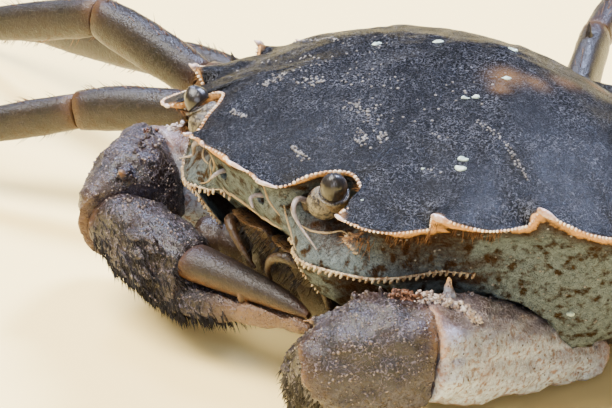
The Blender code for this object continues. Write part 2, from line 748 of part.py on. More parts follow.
def strap(name, rows, sides=10):
    """A flat bent body along the middle plane, through rows of y, z, half width and half depth."""
    places = [Vector((0, y, z)) for y, z, _, _ in rows]
    steps = [(b - a).normalized() for a, b in zip(places, places[1:])]
    ways = [steps[0]] + [between(a, b) for a, b in zip(steps, steps[1:])] + [steps[-1]]
    rings = []
    for point, way, (_, _, half, deep) in zip(places, ways, rows):
        rise = way.cross(Vector((1, 0, 0)))
        ring = []
        for i in range(sides):
            angle = 2 * math.pi * (i + 0.5) / sides
            across = Vector((math.cos(angle) * half, 0, 0))
            ring.append(place(*(point + across + rise * math.sin(angle) * deep)))
        rings.append(ring)
    return ring_mesh(name, rings)


# Tail folded under the body, as y, z, half width and half depth
ABDOMEN_BASE = ((0.953, -0.150, 0.150, 0.016), (0.957, -0.190, 0.146, 0.020),
                (0.946, -0.234, 0.138, 0.022), (0.914, -0.281, 0.124, 0.021),
                (0.874, -0.318, 0.108, 0.017))
ABDOMEN_FLAP = ((0.8675, -0.3275, 0.106, 0.016), (0.806, -0.362, 0.116, 0.015),
                (0.700, -0.383, 0.122, 0.014), (0.560, -0.389, 0.118, 0.014),
                (0.420, -0.387, 0.098, 0.013), (0.270, -0.381, 0.040, 0.011))


def eye_limbs(label, side):
    """Eyestalk and cornea, raised out of the orbit."""
    root = Vector((side * 0.172, 0.058, -0.030))
    neck = Vector((side * 0.226, 0.030, 0.012))
    top = Vector((side * 0.246, 0.020, 0.052))
    bend = between((neck - root).normalized(), (top - neck).normalized())
    stalk = Limb(f"eyestalk_{label}", root, neck,
                 ((0.0, 0.018, 0.018, 0.0), (0.45, 0.031, 0.029, -0.004), (0.8, 0.031, 0.029, -0.002),
                  (1.0, 0.026, 0.026, 0.0)),
                 None, bend, sides=10)
    cornea = Limb(f"eye_{label}", neck, top,
                  ((0.0, 0.027, 0.027, 0.0), (0.35, 0.0285, 0.0285, 0.0), (0.7, 0.022, 0.022, 0.0),
                   (0.92, 0.011, 0.011, 0.0), (1.0, 0.004, 0.004, 0.0)), bend, None, sides=10)
    return stalk, cornea


def antenna_points(side):
    """The jointed base of the second antenna and its thread, as one curved feeler."""
    points = ((0.150, 0.030, -0.032), (0.166, -0.012, -0.012), (0.180, -0.010, -0.050),
              (0.238, -0.008, -0.080))
    return [Vector((side * x, y, z)) for x, y, z in points]


def feeler(name, points, radii, grow=0.0):
    """A round feeler through the points, with a radius at each. grow fattens and lengthens it."""
    smooth = catmull(points, 3) + [points[-1]]
    smooth[0] = smooth[0] + (smooth[0] - smooth[1]).normalized() * grow
    smooth[-1] = smooth[-1] + (smooth[-1] - smooth[-2]).normalized() * grow
    steps = len(smooth) - 1
    rings = []
    for i, p in enumerate(smooth):
        before, after = smooth[max(0, i - 1)], smooth[min(steps, i + 1)]
        axis = (after - before).normalized()
        side = axis.cross(Vector((0, 0, 1))).normalized()
        rise = side.cross(axis)
        along = i / 3
        k = min(int(along), len(radii) - 2)
        radius = radii[k] + (radii[k + 1] - radii[k]) * (along - k) + grow
        ring = []
        for j in range(6):
            angle = 2 * math.pi * j / 6
            ring.append(place(*(p + (side * math.cos(angle) + rise * math.sin(angle)) * radius)))
        rings.append(ring)
    return ring_mesh(name, rings)


ANTENNA_RADII = (0.0120, 0.0085, 0.0050, 0.0040)
ANTENNULE_RADII = (0.0110, 0.0090, 0.0050)


def antennule_points(side):
    """The folded first antenna under the front."""
    points = ((0.070, 0.004, -0.045), (0.060, -0.040, -0.040), (0.088, -0.058, -0.060))
    return [Vector((side * x, y, z)) for x, y, z in points]


# Mouth plates, row by row from the top: z, half width and y
MOUTH_PLATE_ROWS = ((-0.140, 0.052, 0.040), (-0.175, 0.064, 0.062), (-0.225, 0.062, 0.092),
                    (-0.285, 0.048, 0.124))
MOUTH_PLATE_X = 0.0685
MOUTH_PLATE_DEPTH = 0.024
MOUTH_PLATE_SIDES = 10


def maxilliped(label, side, grow=0.0):
    """One of the two plates that close the mouth."""
    rings = []
    for z, half, y in MOUTH_PLATE_ROWS:
        lift = grow if z == MOUTH_PLATE_ROWS[0][0] else -grow
        ring = []
        for i in range(MOUTH_PLATE_SIDES):
            angle = 2 * math.pi * (i + 0.5) / MOUTH_PLATE_SIDES
            c, s = math.cos(angle), math.sin(angle)
            x = side * MOUTH_PLATE_X + math.copysign(abs(c) ** 0.6, c) * (half + grow)
            ring.append(place(x, y + s * (MOUTH_PLATE_DEPTH + grow), z + lift))
        rings.append(ring)
    return ring_mesh(f"maxilliped_{label}", rings)


def main():
    """Build every part, cut the sockets, and stand the crab over the origin."""
    for old in list(bpy.data.objects):
        bpy.data.objects.remove(old)
    parts = bpy.data.collections.new("river_crab")
    bpy.context.scene.collection.children.link(parts)
    carapace = build_carapace()
    thorax = build_thorax()
    flap = strap("abdomen_flap", ABDOMEN_FLAP)
    base = strap("abdomen_base", ABDOMEN_BASE)
    shell_cutters, thorax_cutters = [], []
    built = []
    for label, side in (("left", 1), ("right", -1)):
        stalk, cornea = eye_limbs(label, side)
        built += [(stalk.solid(), UNDERSIDE), (cornea.solid(), CORNEA)]
        shell_cutters.append(stalk.solid(GAP, GAP, "cut"))
        points = antenna_points(side)
        built.append((feeler(f"antenna_{label}", points, ANTENNA_RADII), FEELER))
        shell_cutters.append(feeler("cut", points, ANTENNA_RADII, GAP))
        points = antennule_points(side)
        built.append((feeler(f"antennule_{label}", points, ANTENNULE_RADII), FEELER))
        shell_cutters.append(feeler("cut", points, ANTENNULE_RADII, GAP))
        built.append((maxilliped(label, side), UNDERSIDE))
        shell_cutters.append(maxilliped("cut", side, 1.6 * GAP))
        claw = Claw(label)
        built += claw.solids()
        for cutters in (shell_cutters, thorax_cutters):
            cutters += [claw.coxa().solid(GAP, GAP, "cut"), claw.merus().solid(GAP, GAP, "cut")]
        for number in range(len(LEG_BUILDS)):
            limbs = leg_limbs(label, side, number)
            built.append((leg_merus(limbs[0]), LIMB_SHELL))
            built += [(limb.solid(), LIMB_SHELL) for limb in limbs[1:]]
            for cutters in (shell_cutters, thorax_cutters):
                cutters.append(limbs[0].solid(GAP, GAP, "cut"))
    join_all(carapace, shell_cutters, "DIFFERENCE")
    join_all(thorax, thorax_cutters, "DIFFERENCE")
    built += [(carapace, SHELL), (thorax, UNDERSIDE), (flap, UNDERSIDE), (base, UNDERSIDE)]
    for obj, finish in built:
        add_part(parts, obj, finish)
    corners = [v.co for obj, _ in built for v in obj.data.vertices]
    shift = Vector((-(max(c.x for c in corners) + min(c.x for c in corners)) / 2,
                    -(max(c.y for c in corners) + min(c.y for c in corners)) / 2,
                    -min(c.z for c in corners)))
    for obj, _ in built:
        obj.location = shift


main()
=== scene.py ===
"""Chinese mitten crab: finishes, fine forms, camera and light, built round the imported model.

Places on the crab are in body units: x to its left, y backward and z up, from the middle of the line
through its outer orbital teeth. One unit is BODY_UNIT metres.
"""
import json
import logging
import math
import random
from dataclasses import dataclass, field
from enum import Enum
from typing import Callable, Sequence

import bpy
import numpy as np
from bpy.types import ID, Material, Node, NodeSocket, NodeTree, Object
from mathutils import Matrix, Vector, noise
from mathutils.bvhtree import BVHTree
from mathutils.kdtree import KDTree

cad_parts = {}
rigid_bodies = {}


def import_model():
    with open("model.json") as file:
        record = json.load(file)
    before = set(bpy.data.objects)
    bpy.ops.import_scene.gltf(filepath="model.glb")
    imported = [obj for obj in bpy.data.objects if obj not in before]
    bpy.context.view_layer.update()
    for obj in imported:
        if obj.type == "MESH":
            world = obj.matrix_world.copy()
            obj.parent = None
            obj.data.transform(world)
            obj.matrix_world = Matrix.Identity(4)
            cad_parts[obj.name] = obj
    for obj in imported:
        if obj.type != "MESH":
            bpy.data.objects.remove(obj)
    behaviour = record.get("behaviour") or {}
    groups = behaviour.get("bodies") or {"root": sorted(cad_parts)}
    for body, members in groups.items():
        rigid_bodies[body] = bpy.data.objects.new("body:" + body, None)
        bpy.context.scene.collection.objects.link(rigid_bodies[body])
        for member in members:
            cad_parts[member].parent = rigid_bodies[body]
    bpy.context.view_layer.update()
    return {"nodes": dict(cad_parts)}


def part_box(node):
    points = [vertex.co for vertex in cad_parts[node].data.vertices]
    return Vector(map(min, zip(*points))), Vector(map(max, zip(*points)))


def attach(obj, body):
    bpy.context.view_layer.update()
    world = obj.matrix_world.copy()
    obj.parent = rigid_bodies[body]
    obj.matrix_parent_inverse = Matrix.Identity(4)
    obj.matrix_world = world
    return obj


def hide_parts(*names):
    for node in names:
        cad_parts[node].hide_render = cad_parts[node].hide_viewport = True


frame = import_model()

PHOTO_WIDTH = 612
PHOTO_HEIGHT = 408
# Metres in a body unit: the shell is 66 mm wide, which is 1.06 units
BODY_UNIT = 0.066 / 1.06
# In body units: the outer orbital teeth's height over the ground, and the brow's foremost point
STANCE = 0.415
MEDIAN_TIP_Y = -0.067
# Points of a solid that are closer than this become one, in metres
MERGE = 1e-6
MILLIMETRE = 0.001
UPWARD = Vector((0, 0, 1))
SIDEWAYS = Vector((1, 0, 0))

SHELL_LOW, SHELL_HIGH = (Vector(corner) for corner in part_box("carapace"))
ORIGIN = Vector(((SHELL_LOW.x + SHELL_HIGH.x) / 2, SHELL_LOW.y - MEDIAN_TIP_Y * BODY_UNIT, STANCE * BODY_UNIT))

logging.basicConfig(level=logging.INFO, format="%(message)s")
log = logging.getLogger("river_crab")


class Side(Enum):
    """The crab's two sides, with the sign of x on each."""

    LEFT = 1
    RIGHT = -1

    @property
    def label(self) -> str:
        """The side's name as it stands in the node names."""
        return self.name.lower()


class Slot(Enum):
    """The record's material slots."""

    SHELL = "shell"
    UNDERSIDE = "underside"
    LIMB = "limb"
    CLAW_TIP = "claw_tip"
    CORNEA = "cornea"
    FEELER = "feeler"


def place(x: float, y: float, z: float) -> Vector:
    """Body units to a place in the frame, in metres."""
    return ORIGIN + Vector((x, y, z)) * BODY_UNIT


def linear(code: str) -> tuple[float, float, float, float]:
    """An sRGB hex colour as linear values with full alpha."""
    parts = [int(code[i:i + 2], 16) / 255 for i in (1, 3, 5)]
    return (*(c / 12.92 if c <= 0.04045 else ((c + 0.055) / 1.055) ** 2.4 for c in parts), 1.0)


def select_only(obj: Object) -> None:
    """Make this object the only selected one, and the active one."""
    bpy.ops.object.select_all(action="DESELECT")
    obj.select_set(True)
    bpy.context.view_layer.objects.active = obj


def linked(name: str, data: ID) -> Object:
    """A new object of this data, in the scene."""
    made = bpy.data.objects.new(name, data)
    bpy.context.scene.collection.objects.link(made)
    return made


def added(operator: Callable, name: str, **settings: float) -> Object:
    """Run an operator that adds a primitive at the origin, and name what it made."""
    bpy.ops.object.select_all(action="DESELECT")
    operator(**settings)
    made = bpy.context.active_object
    made.name = name
    return made


def modify(piece: Object, kind: str, **settings: float | str) -> None:
    """Put a modifier with these settings on a piece, and apply it."""
    modifier = piece.modifiers.new(kind.lower(), kind)
    for key, value in settings.items():
        setattr(modifier, key, value)
    select_only(piece)
    bpy.ops.object.modifier_apply(modifier=modifier.name)


def vectors(rows: Sequence[Sequence[float]]) -> list[Vector]:
    """Rows of coordinates as vectors."""
    return [Vector(row) for row in rows]


def jitter(draw: random.Random, *spreads: float) -> Vector:
    """A vector of chance: one spread for all its parts, or one each for x, y and, where given, z."""
    if len(spreads) == 1:
        spreads *= 3
    return Vector([draw.gauss(0, spread) for spread in spreads] + [0.0] * (3 - len(spreads)))


def search_tree(points: Sequence[Vector]) -> KDTree:
    """A search tree of points."""
    tree = KDTree(len(points))
    for i, point in enumerate(points):
        tree.insert(point, i)
    tree.balance()
    return tree


def add_node(tree: NodeTree, kind: str, settings: dict | None = None, links: dict | None = None) -> Node:
    """Add one shader node with its settings and links.

    Args:
        tree: The material's node tree.
        kind: The node's Blender type.
        settings: Properties by lower-case name, and input values by index or by title.
        links: Output sockets to link, by the input's index or title.

    Returns:
        The new node.
    """
    made = tree.nodes.new(kind)
    for key, value in (settings or {}).items():
        if isinstance(key, str) and key[0].islower():
            setattr(made, key, value)
        else:
            made.inputs[key].default_value = value
    for key, socket in (links or {}).items():
        tree.links.new(socket, made.inputs[key])
    return made


# Index of a colour Mix node's sockets
MIX_A, MIX_B, MIX_OUT = 6, 7, 2
# The edge attribute's value where a piece has no beaded rim, in millimetres from the rim
NO_RIM = -50.0
WATER_IOR = 1.33


class Nodes:
    """A material under construction, with short ways to mix colours and shares in it."""

    def __init__(self, name: str) -> None:
        """Start the material.

        Args:
            name: The material's name.
        """
        self.material = bpy.data.materials.new(name)
        self.material.use_nodes = True
        self.tree = self.material.node_tree
        self.shader = self.tree.nodes["Principled BSDF"]
        self.where = self.add("TexCoord").outputs["Object"]

    def add(self, kind: str, settings: dict | None = None, links: dict | None = None) -> Node:
        """Add a node to the material, by its type's short name."""
        return add_node(self.tree, f"ShaderNode{kind}", settings, links)

    def noise(self, size_mm: float, detail: float, where: NodeSocket, roughness: float = 0.5) -> Node:
        """A noise texture of this many millimetres."""
        settings = {"Scale": 1 / (size_mm * MILLIMETRE), "Detail": detail, "Roughness": roughness}
        return self.add("TexNoise", settings, {"Vector": where})

    def drift(self, size_mm: float, detail: float = 2.0, where: NodeSocket | None = None,
              low: float = 0.36, high: float = 0.64) -> NodeSocket:
        """A soft share from 0 to 1 that drifts over this many millimetres."""
        return self.ramp(self.noise(size_mm, detail, where or self.where, 0.6).outputs["Fac"], low, high)

    def ramp(self, value: NodeSocket, low: float, high: float, start: float = 0.0,
             end: float = 1.0) -> NodeSocket:
        """Map a value from low..high to start..end, clamped."""
        return self.add("MapRange", {1: low, 2: high, 3: start, 4: end}, {0: value}).outputs[0]

    def blend(self, share: NodeSocket, under: str | NodeSocket, over: str | NodeSocket) -> NodeSocket:
        """Mix two colours, each a hex code or a socket."""
        settings, links = {"data_type": "RGBA"}, {0: share}
        for index, colour in ((MIX_A, under), (MIX_B, over)):
            if isinstance(colour, str):
                settings[index] = linear(colour)
            else:
                links[index] = colour
        return self.add("Mix", settings, links).outputs[MIX_OUT]

    def math(self, operation: str, first: NodeSocket, second: float | NodeSocket) -> NodeSocket:
        """A Math node of two values."""
        settings, links = {"operation": operation}, {0: first}
        (settings if isinstance(second, float) else links)[1] = second
        return self.add("Math", settings, links).outputs[0]

    def times(self, first: NodeSocket, second: float | NodeSocket) -> NodeSocket:
        """The product of two values."""
        return self.math("MULTIPLY", first, second)

    def relief(self, height: NodeSocket, depth_mm: float, under: NodeSocket | None = None) -> NodeSocket:
        """A bump of this depth, over another one where it is given."""
        links = {"Height": height}
        if under:
            links["Normal"] = under
        return self.add("Bump", {"Strength": 1.0, "Distance": depth_mm * MILLIMETRE}, links).outputs[0]

    def close(self, colour: NodeSocket, normal: NodeSocket, roughness: float, wet: float,
              film_roughness: float, shine: float = 0.3) -> Material:
        """Link the shader, with a film of water of weight wet over it."""
        for title, socket in (("Base Color", colour), ("Normal", normal), ("Coat Normal", normal)):
            self.tree.links.new(socket, self.shader.inputs[title])
        for title, value in (("Roughness", roughness), ("Coat Weight", wet), ("Coat Roughness", film_roughness),
                             ("Coat IOR", WATER_IOR), ("Specular IOR Level", shine)):
            self.shader.inputs[title].default_value = value
        return self.material


@dataclass(frozen=True)
class Finish:
    """A surface's looks, made into a material once."""

    name: str

    def material(self) -> Material:
        """The finish as a material."""
        return bpy.data.materials.get(self.name) or self.make(Nodes(self.name))

    def make(self, made: Nodes) -> Material:
        """Fill the new material; each kind of finish has its own way."""
        raise NotImplementedError(self.name)


@dataclass(frozen=True)
class ShellFinish(Finish):
    """Wet calcified crab shell: a mottled ground, raised granules and a water film.

    The point colours named zones steer it: red is the cream of joints and tips, green the pale of the
    under parts, and blue the orange-brown of hollows, which is partly painted shade. The value named
    edge is the way from the beaded rim in millimetres, above 0 below the rim.
    """

    ground: str
    shade: str
    granule: str
    cream: str
    pale: str
    pale_mottle: str
    # The orange-brown of the blue zone: stains and joint ends, and painted shade in hollows and under the rim
    rust: str
    granule_mm: float = 0.36
    mottle_mm: float = 5.0
    granule_share: float = 0.6
    roughness: float = 0.42
    wet: float = 0.6
    relief_mm: float = 0.07
    mottle_soft: float = 1.0
    shine: float = 0.3

    # Where each pattern starts and where it is full, on its texture's own scale
    DOTS, WORMS, BLOTCHES, CLOUDS = (0.42, 0.20), (0.0013, 0.0001), (0.49, 0.62), (0.40, 0.60)
    # The same in millimetres below the rim, for the cream band and for the brown under it, which is partly
    # painted shade
    CREAM_IN, CREAM_OUT = (-0.22, 0.05), (1.05, 0.55)
    BROWN_IN, BROWN_OUT = (0.1, 0.9), (2.8, 0.9)
    # Millimetres: the fine grain, the small bumps and their depth, the band's waves and their reach
    GRAIN, BUMP, BUMP_DEPTH, WAVE, WAVE_REACH = 0.5, 0.16, 0.02, 1.3, 0.25
    FILM_ROUGHNESS = 0.12

    def make(self, made: Nodes) -> Material:
        """Mix the zones' colours, and set the relief and the film of water."""
        zones = made.add("Attribute", {"attribute_name": "zones"}).outputs["Color"]
        parts = made.add("SeparateColor", links={"Color": zones}).outputs
        edge = made.add("Attribute", {"attribute_name": "edge"}).outputs["Fac"]
        crown, grain = self.crown(made), made.drift(self.GRAIN)
        lower = made.blend(parts["Green"], self.beaded(made, crown), self.pale_parts(made, grain))
        # Orange-brown by the blue zone: real stains and joint ends, and painted shade in the hollows
        rust_and_shade = made.blend(made.times(parts["Blue"], made.ramp(grain, 0.0, 1.0, 0.75, 1.0)), lower, self.rust)
        # The rim's cream band, with the orange-brown under it, along a wandering line; the brown under the rim
        # is partly painted shade
        wave = made.ramp(made.drift(self.WAVE), 0.0, 1.0, -self.WAVE_REACH, self.WAVE_REACH)
        wander = made.math("ADD", edge, wave)
        under_rim = made.times(made.ramp(wander, *self.BROWN_IN), made.ramp(wander, *self.BROWN_OUT))
        shaded_brown = made.blend(made.times(under_rim, 0.85), rust_and_shade, self.rust)
        band = made.times(made.ramp(edge, *self.CREAM_IN), made.ramp(wander, *self.CREAM_OUT))
        colour = made.blend(parts["Red"], made.blend(band, shaded_brown, self.cream), self.cream)
        normal = made.relief(made.drift(self.BUMP), self.BUMP_DEPTH, made.relief(crown, self.relief_mm))
        return made.close(colour, normal, self.roughness, self.wet, self.FILM_ROUGHNESS, self.shine)

    def crown(self, made: Nodes) -> NodeSocket:
        """Granules, bent a little into the short worm-like beads of real shell."""
        bend = made.noise(self.granule_mm, 0.0, made.where)
        shift = made.add("VectorMath", {"operation": "SCALE", "Scale": self.granule_mm * 0.5 * MILLIMETRE},
                         {0: bend.outputs["Color"]})
        bent = made.add("VectorMath", {"operation": "ADD"}, {0: made.where, 1: shift.outputs[0]}).outputs[0]
        cells = made.add("TexVoronoi", {"Scale": 1 / (self.granule_mm * MILLIMETRE), "Randomness": 0.9},
                         {"Vector": bent})
        dots = made.ramp(cells.outputs["Distance"], *self.DOTS)
        strokes = made.noise(self.granule_mm * 1.25, 1.0, bent)
        off = made.math("SUBTRACT", strokes.outputs["Fac"], 0.5)
        worms = made.ramp(made.times(off, off), *self.WORMS)
        return made.math("MAXIMUM", worms, made.times(dots, 0.35))

    def beaded(self, made: Nodes, crown: NodeSocket) -> NodeSocket:
        """The mottled ground under granules that are thicker in some places, and lighter in large clouds of
        painted sheen.
        """
        thick = made.ramp(made.drift(self.mottle_mm * 0.7, 3.0), 0.3, 0.7, self.granule_share * 0.62,
                          self.granule_share * 1.05)
        # Large clouds where the granules show more: painted patches of wet sheen, at random places
        sheen_clouds = made.drift(self.mottle_mm * 2.2, 2.0, None, *self.CLOUDS)
        share = made.times(made.times(crown, thick), made.ramp(sheen_clouds, 0.0, 1.0, 0.62, 1.12))
        soft = 0.14 * self.mottle_soft
        mottles = made.drift(self.mottle_mm, 4.0, low=0.5 - soft, high=0.5 + soft)
        return made.blend(share, made.blend(mottles, self.shade, self.ground), self.granule)

    def pale_parts(self, made: Nodes, grain: NodeSocket) -> NodeSocket:
        """The pale under parts, with brown mottles and a faint grain."""
        blotches = made.drift(self.mottle_mm * 0.24, 6.0, None, *self.BLOTCHES)
        mottled = made.blend(blotches, self.pale, self.pale_mottle)
        return made.blend(made.times(grain, 0.35), mottled, self.shade)


# Wet chitin and lime of the back: near-black slate under close bluish strokes
# Its last colour, the orange-brown, is stains and also painted shade in the hollows and under the rim
BACK = ShellFinish("wet_slate_shell", "#040405", "#010101", "#57585e", "#c29058", "#5a6466", "#2a1c0c",
                   "#2a1707", granule_mm=0.34, granule_share=0.95, roughness=0.46, wet=0.14, shine=0.04,
                   relief_mm=0.14)
# Leg shell: brown, granular, paler below
LIMB = ShellFinish("wet_leg_shell", "#1a110c", "#0a0604", "#362b24", "#74552f", "#3e3830", "#38240e", "#38190a",
                   granule_mm=0.46, mottle_mm=3.4, granule_share=0.40, wet=0.25)
# Claw shell: purple-grey granules on brown
CLAW = ShellFinish("wet_claw_shell", "#221917", "#0a0706", "#746a78", "#94704c", "#444250", "#34261e",
                   "#3c2210", granule_mm=0.46, mottle_mm=2.2, granule_share=0.66, wet=0.24, relief_mm=0.16)
# The claw legs' arms: paler, blue-cream on their sides
ARM = ShellFinish("wet_arm_shell", "#70666a", "#3c2e26", "#c0b8bc", "#c99a60", "#b8c6d8", "#8a6e62",
                  "#6e3c1c", granule_mm=0.46, mottle_mm=2.4, granule_share=0.60, wet=0.40)
# Fingers: matte dark horn, orange-brown along the under edge
FINGER = ShellFinish("tan_finger_horn", "#221812", "#120b07", "#2c221b", "#54391f", "#4c3018", "#301c0c",
                     "#381a0a", granule_mm=0.5, mottle_mm=4.0, granule_share=0.25, roughness=0.5, wet=0.25,
                     relief_mm=0.05)
# Thin pale plates of the breast, mouth and tail
PALE = ShellFinish("pale_under_shell", "#857b60", "#4a4028", "#a89c80", "#cfb888", "#938a70", "#6e4618",
                   "#5d2c08", granule_mm=0.5, granule_share=0.3, wet=0.5)
# Mouth plates and the forms round them: dark brown, partly their own colour and partly painted shade of the
# hollow under the face
MOUTH = ShellFinish("stained_mouth_shell", "#2e1c0c", "#140b05", "#5a4020", "#8a6434", "#4c3c22", "#2a1608",
                    "#2a1206", granule_mm=0.45, granule_share=0.35, wet=0.5)
# Eyestalk: cream skin flecked with brown
STALK = ShellFinish("flecked_eyestalk", "#5e5442", "#140a05", "#80765e", "#c0a878", "#6e6044", "#382008",
                    "#3a1a06", granule_mm=0.3, mottle_mm=0.55, granule_share=0.30, wet=0.7, mottle_soft=0.25)


@dataclass(frozen=True)
class PlainFinish(Finish):
    """A smooth horny or glassy finish with a fine drift of colour."""

    light: str
    dark: str
    drift_mm: float
    roughness: float
    wet: float
    stretch: tuple[float, float, float] = (1.0, 1.0, 1.0)

    BUMP_DEPTH, FILM_ROUGHNESS = 0.02, 0.06

    def make(self, made: Nodes) -> Material:
        """Mix the two colours by one drift, which is the relief as well."""
        spread = made.add("Mapping", {"Scale": self.stretch}, {"Vector": made.where})
        share = made.drift(self.drift_mm, 3.0, spread.outputs[0])
        return made.close(made.blend(share, self.dark, self.light), made.relief(share, self.BUMP_DEPTH),
                          self.roughness, self.wet, self.FILM_ROUGHNESS)


# Cornea: dark glass over faint upright streaks
GLASSY_EYE = PlainFinish("wet_cornea", "#201a17", "#0c0a08", 0.30, 0.38, 0.75, (1.0, 1.0, 0.12))
# Beads and teeth: bare lime, cream to orange
BEAD = PlainFinish("cream_lime_bead", "#e2d2b8", "#a06a36", 0.55, 0.35, 0.6)
# Ridge teeth: duller lime, brown in the gaps
RIDGE_TOOTH = PlainFinish("stained_ridge_tooth", "#b4a484", "#5a3814", 0.45, 0.35, 0.6)
# Points of the rim's teeth: pale lavender lime
TOOTH_POINT = PlainFinish("pale_tooth_point", "#d0c2c0", "#a87c58", 0.9, 0.35, 0.6)
# Granules, then tubercles of the claws, as brown as their shell
CLAW_GRAIN = PlainFinish("brown_claw_granule", "#7e7068", "#2e2420", 0.6, 0.4, 0.6)
CLAW_BEAD = PlainFinish("worn_claw_tubercle", "#867a76", "#44342a", 0.7, 0.45, 0.4)
# Brown crumbs at the outer end of the elbow's crest
ORANGE_CRUST = PlainFinish("orange_crumbly_crest", "#744e38", "#2c180c", 0.5, 0.65, 0.2)
# Lone granules of the back and walls, grey as worn lime
GRANULE = PlainFinish("pale_lime_granule", "#7e7b76", "#3e3832", 0.7, 0.45, 0.4)
# Pale crumbs of the elbow's crest
CRUST = PlainFinish("crumbly_lime_crest", "#b4aca6", "#80685a", 0.5, 0.55, 0.5)
# Greenish lime specks grown on the shell
SPECK = PlainFinish("greenish_lime_speck", "#bccbb8", "#7c9084", 0.4, 0.6, 0.2)
# Feelers: thin pinkish horn
FEELER_HORN = PlainFinish("lavender_feeler", "#8a8488", "#5a4a3c", 0.9, 0.4, 0.5)
# Joint skin: soft and brown
MEMBRANE = PlainFinish("joint_skin", "#583820", "#281608", 0.8, 0.5, 0.5)
# Bristles: stiff orange-brown hair
BRISTLE = PlainFinish("golden_bristle", "#8c6438", "#3e220c", 0.5, 0.5, 0.15)
# Mitten fur: dark brown, matted and wet
FUR = PlainFinish("wet_brown_fur", "#1a1310", "#090605", 0.6, 0.7, 0.05)

# Most that two triangles of a solid may bend, and their corners differ, to be taken as one quad
QUAD_BEND, QUAD_SKEW = math.radians(50), math.radians(60)
# The noise of uneven surfaces: fall and step from each octave to the next, and octaves
ROUGH_NOISE = (0.6, 2.0, 3)


def smooth_copy(node: str, name: str, levels: int, sharp_degrees: float = 50.0, crease: float = 0.75) -> Object:
    """A merged and subdivided copy of a CAD node, with its sharp edges kept.

    Args:
        node: The CAD node.
        name: The new piece's name.
        levels: Subdivision levels.
        sharp_degrees: Edges that turn more than this are creased.
        crease: How much of their sharpness they keep.

    Returns:
        The new object.
    """
    piece = linked(name, frame["nodes"][node].data.copy())
    select_only(piece)
    bpy.ops.object.mode_set(mode="EDIT")
    bpy.ops.mesh.select_all(action="SELECT")
    bpy.ops.mesh.remove_doubles(threshold=MERGE)
    bpy.ops.mesh.tris_convert_to_quads(face_threshold=QUAD_BEND, shape_threshold=QUAD_SKEW)
    bpy.ops.mesh.select_all(action="DESELECT")
    bpy.ops.mesh.select_mode(type="EDGE")
    bpy.ops.mesh.edges_select_sharp(sharpness=math.radians(sharp_degrees))
    bpy.ops.transform.edge_crease(value=crease)
    bpy.ops.object.mode_set(mode="OBJECT")
    modify(piece, "SUBSURF", levels=levels, render_levels=levels)
    return piece


def rows_of(items: bpy.types.bpy_prop_collection, key: str) -> np.ndarray:
    """Three numbers of each item, as rows."""
    flat = np.empty(len(items) * 3)
    items.foreach_get(key, flat)
    return flat.reshape(-1, 3)


def points_of(piece: Object) -> np.ndarray:
    """The vertices of a piece, in body units."""
    return (rows_of(piece.data.vertices, "co") - np.array(ORIGIN)) / BODY_UNIT


def normals_of(piece: Object) -> np.ndarray:
    """The vertex normals of a piece."""
    return rows_of(piece.data.vertex_normals, "vector")


def in_frame(points: np.ndarray) -> np.ndarray:
    """Points in body units as places in the frame."""
    return points * BODY_UNIT + np.array(ORIGIN)


def paint(piece: Object, zones: np.ndarray | tuple[float, float, float] = (0.0, 0.0, 0.0),
          edge: np.ndarray | None = None) -> None:
    """Write the zones of a piece, and its way from the rim where it has one.

    Args:
        piece: The piece.
        zones: Red, green and blue for the whole piece, or in a row for each vertex.
        edge: Millimetres from the beaded rim, a vertex.
    """
    count = len(piece.data.vertices)
    rows = np.ones((count, 4))
    rows[:, :3] = np.clip(zones, 0.0, 1.0)
    piece.data.attributes.new("zones", "FLOAT_COLOR", "POINT").data.foreach_set("color", rows.ravel())
    away = np.full(count, NO_RIM) if edge is None else edge
    piece.data.attributes.new("edge", "FLOAT", "POINT").data.foreach_set("value", away)


def roughen(piece: Object, depth: float, size: float) -> None:
    """Push the vertices in and out along their normals, by noise.

    Args:
        piece: The piece.
        depth: The most that a point moves, in millimetres.
        size: The bumps' width, in millimetres.
    """
    for vertex, normal in zip(piece.data.vertices, normals_of(piece)):
        height = noise.fractal(vertex.co / (size * MILLIMETRE), *ROUGH_NOISE)
        vertex.co += Vector(normal) * (height * depth * MILLIMETRE)


def finish(piece: Object, look: Finish, slot: Slot, *nodes: str) -> Object:
    """Dress a piece, let it ride on the crab and stand for its nodes."""
    piece.data.materials.clear()
    piece.data.materials.append(look.material())
    select_only(piece)
    bpy.ops.object.shade_smooth()
    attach(piece, "root")
    if nodes:
        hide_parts(*nodes)
    log.info("%s: %d faces", piece.name, len(piece.data.polygons))
    return piece


def mesh_piece(name: str, points: np.ndarray, faces: Sequence[Sequence[int]]) -> Object:
    """A new object from points in body units."""
    mesh = bpy.data.meshes.new(name)
    mesh.from_pydata(in_frame(points).tolist(), [], faces)
    mesh.update()
    return linked(name, mesh)


def catmull(knots: Sequence[Vector], steps: int) -> list[Vector]:
    """Smooth points through knots, steps to each span, without the last one."""
    if len(knots) == 2:
        return [knots[0].lerp(knots[1], i / steps) for i in range(steps)]
    padded = [2 * knots[0] - knots[1], *knots, 2 * knots[-1] - knots[-2]]
    out = []
    for a, b, c, d in zip(padded, padded[1:], padded[2:], padded[3:]):
        for i in range(steps):
            t = i / steps
            out.append(0.5 * (2 * b + (c - a) * t + (2 * a - 5 * b + 4 * c - d) * t * t
                              + (3 * b - a - 3 * c + d) * t ** 3))
    return out


def curve(rows: Sequence[Sequence[float]], steps: int, side: Side = Side.LEFT) -> list[Vector]:
    """Smooth points through rows of coordinates and to the last one, on the side asked for."""
    knots = [mirrored(Vector(row), side) for row in rows]
    return catmull(knots, steps) + [knots[-1]]


def walk(line: Sequence[Vector], spacing: float) -> list[Vector]:
    """Points at an even spacing along a line."""
    out, left = [line[0]], spacing
    for a, b in zip(line, line[1:]):
        length = (b - a).length
        while length > 0 and left <= length:
            out.append(a.lerp(b, left / length))
            left += spacing
        left -= length
    return out


def mirrored(point: Vector, side: Side) -> Vector:
    """A point of the left half on the side asked for."""
    return Vector((point.x * side.value, point.y, point.z))


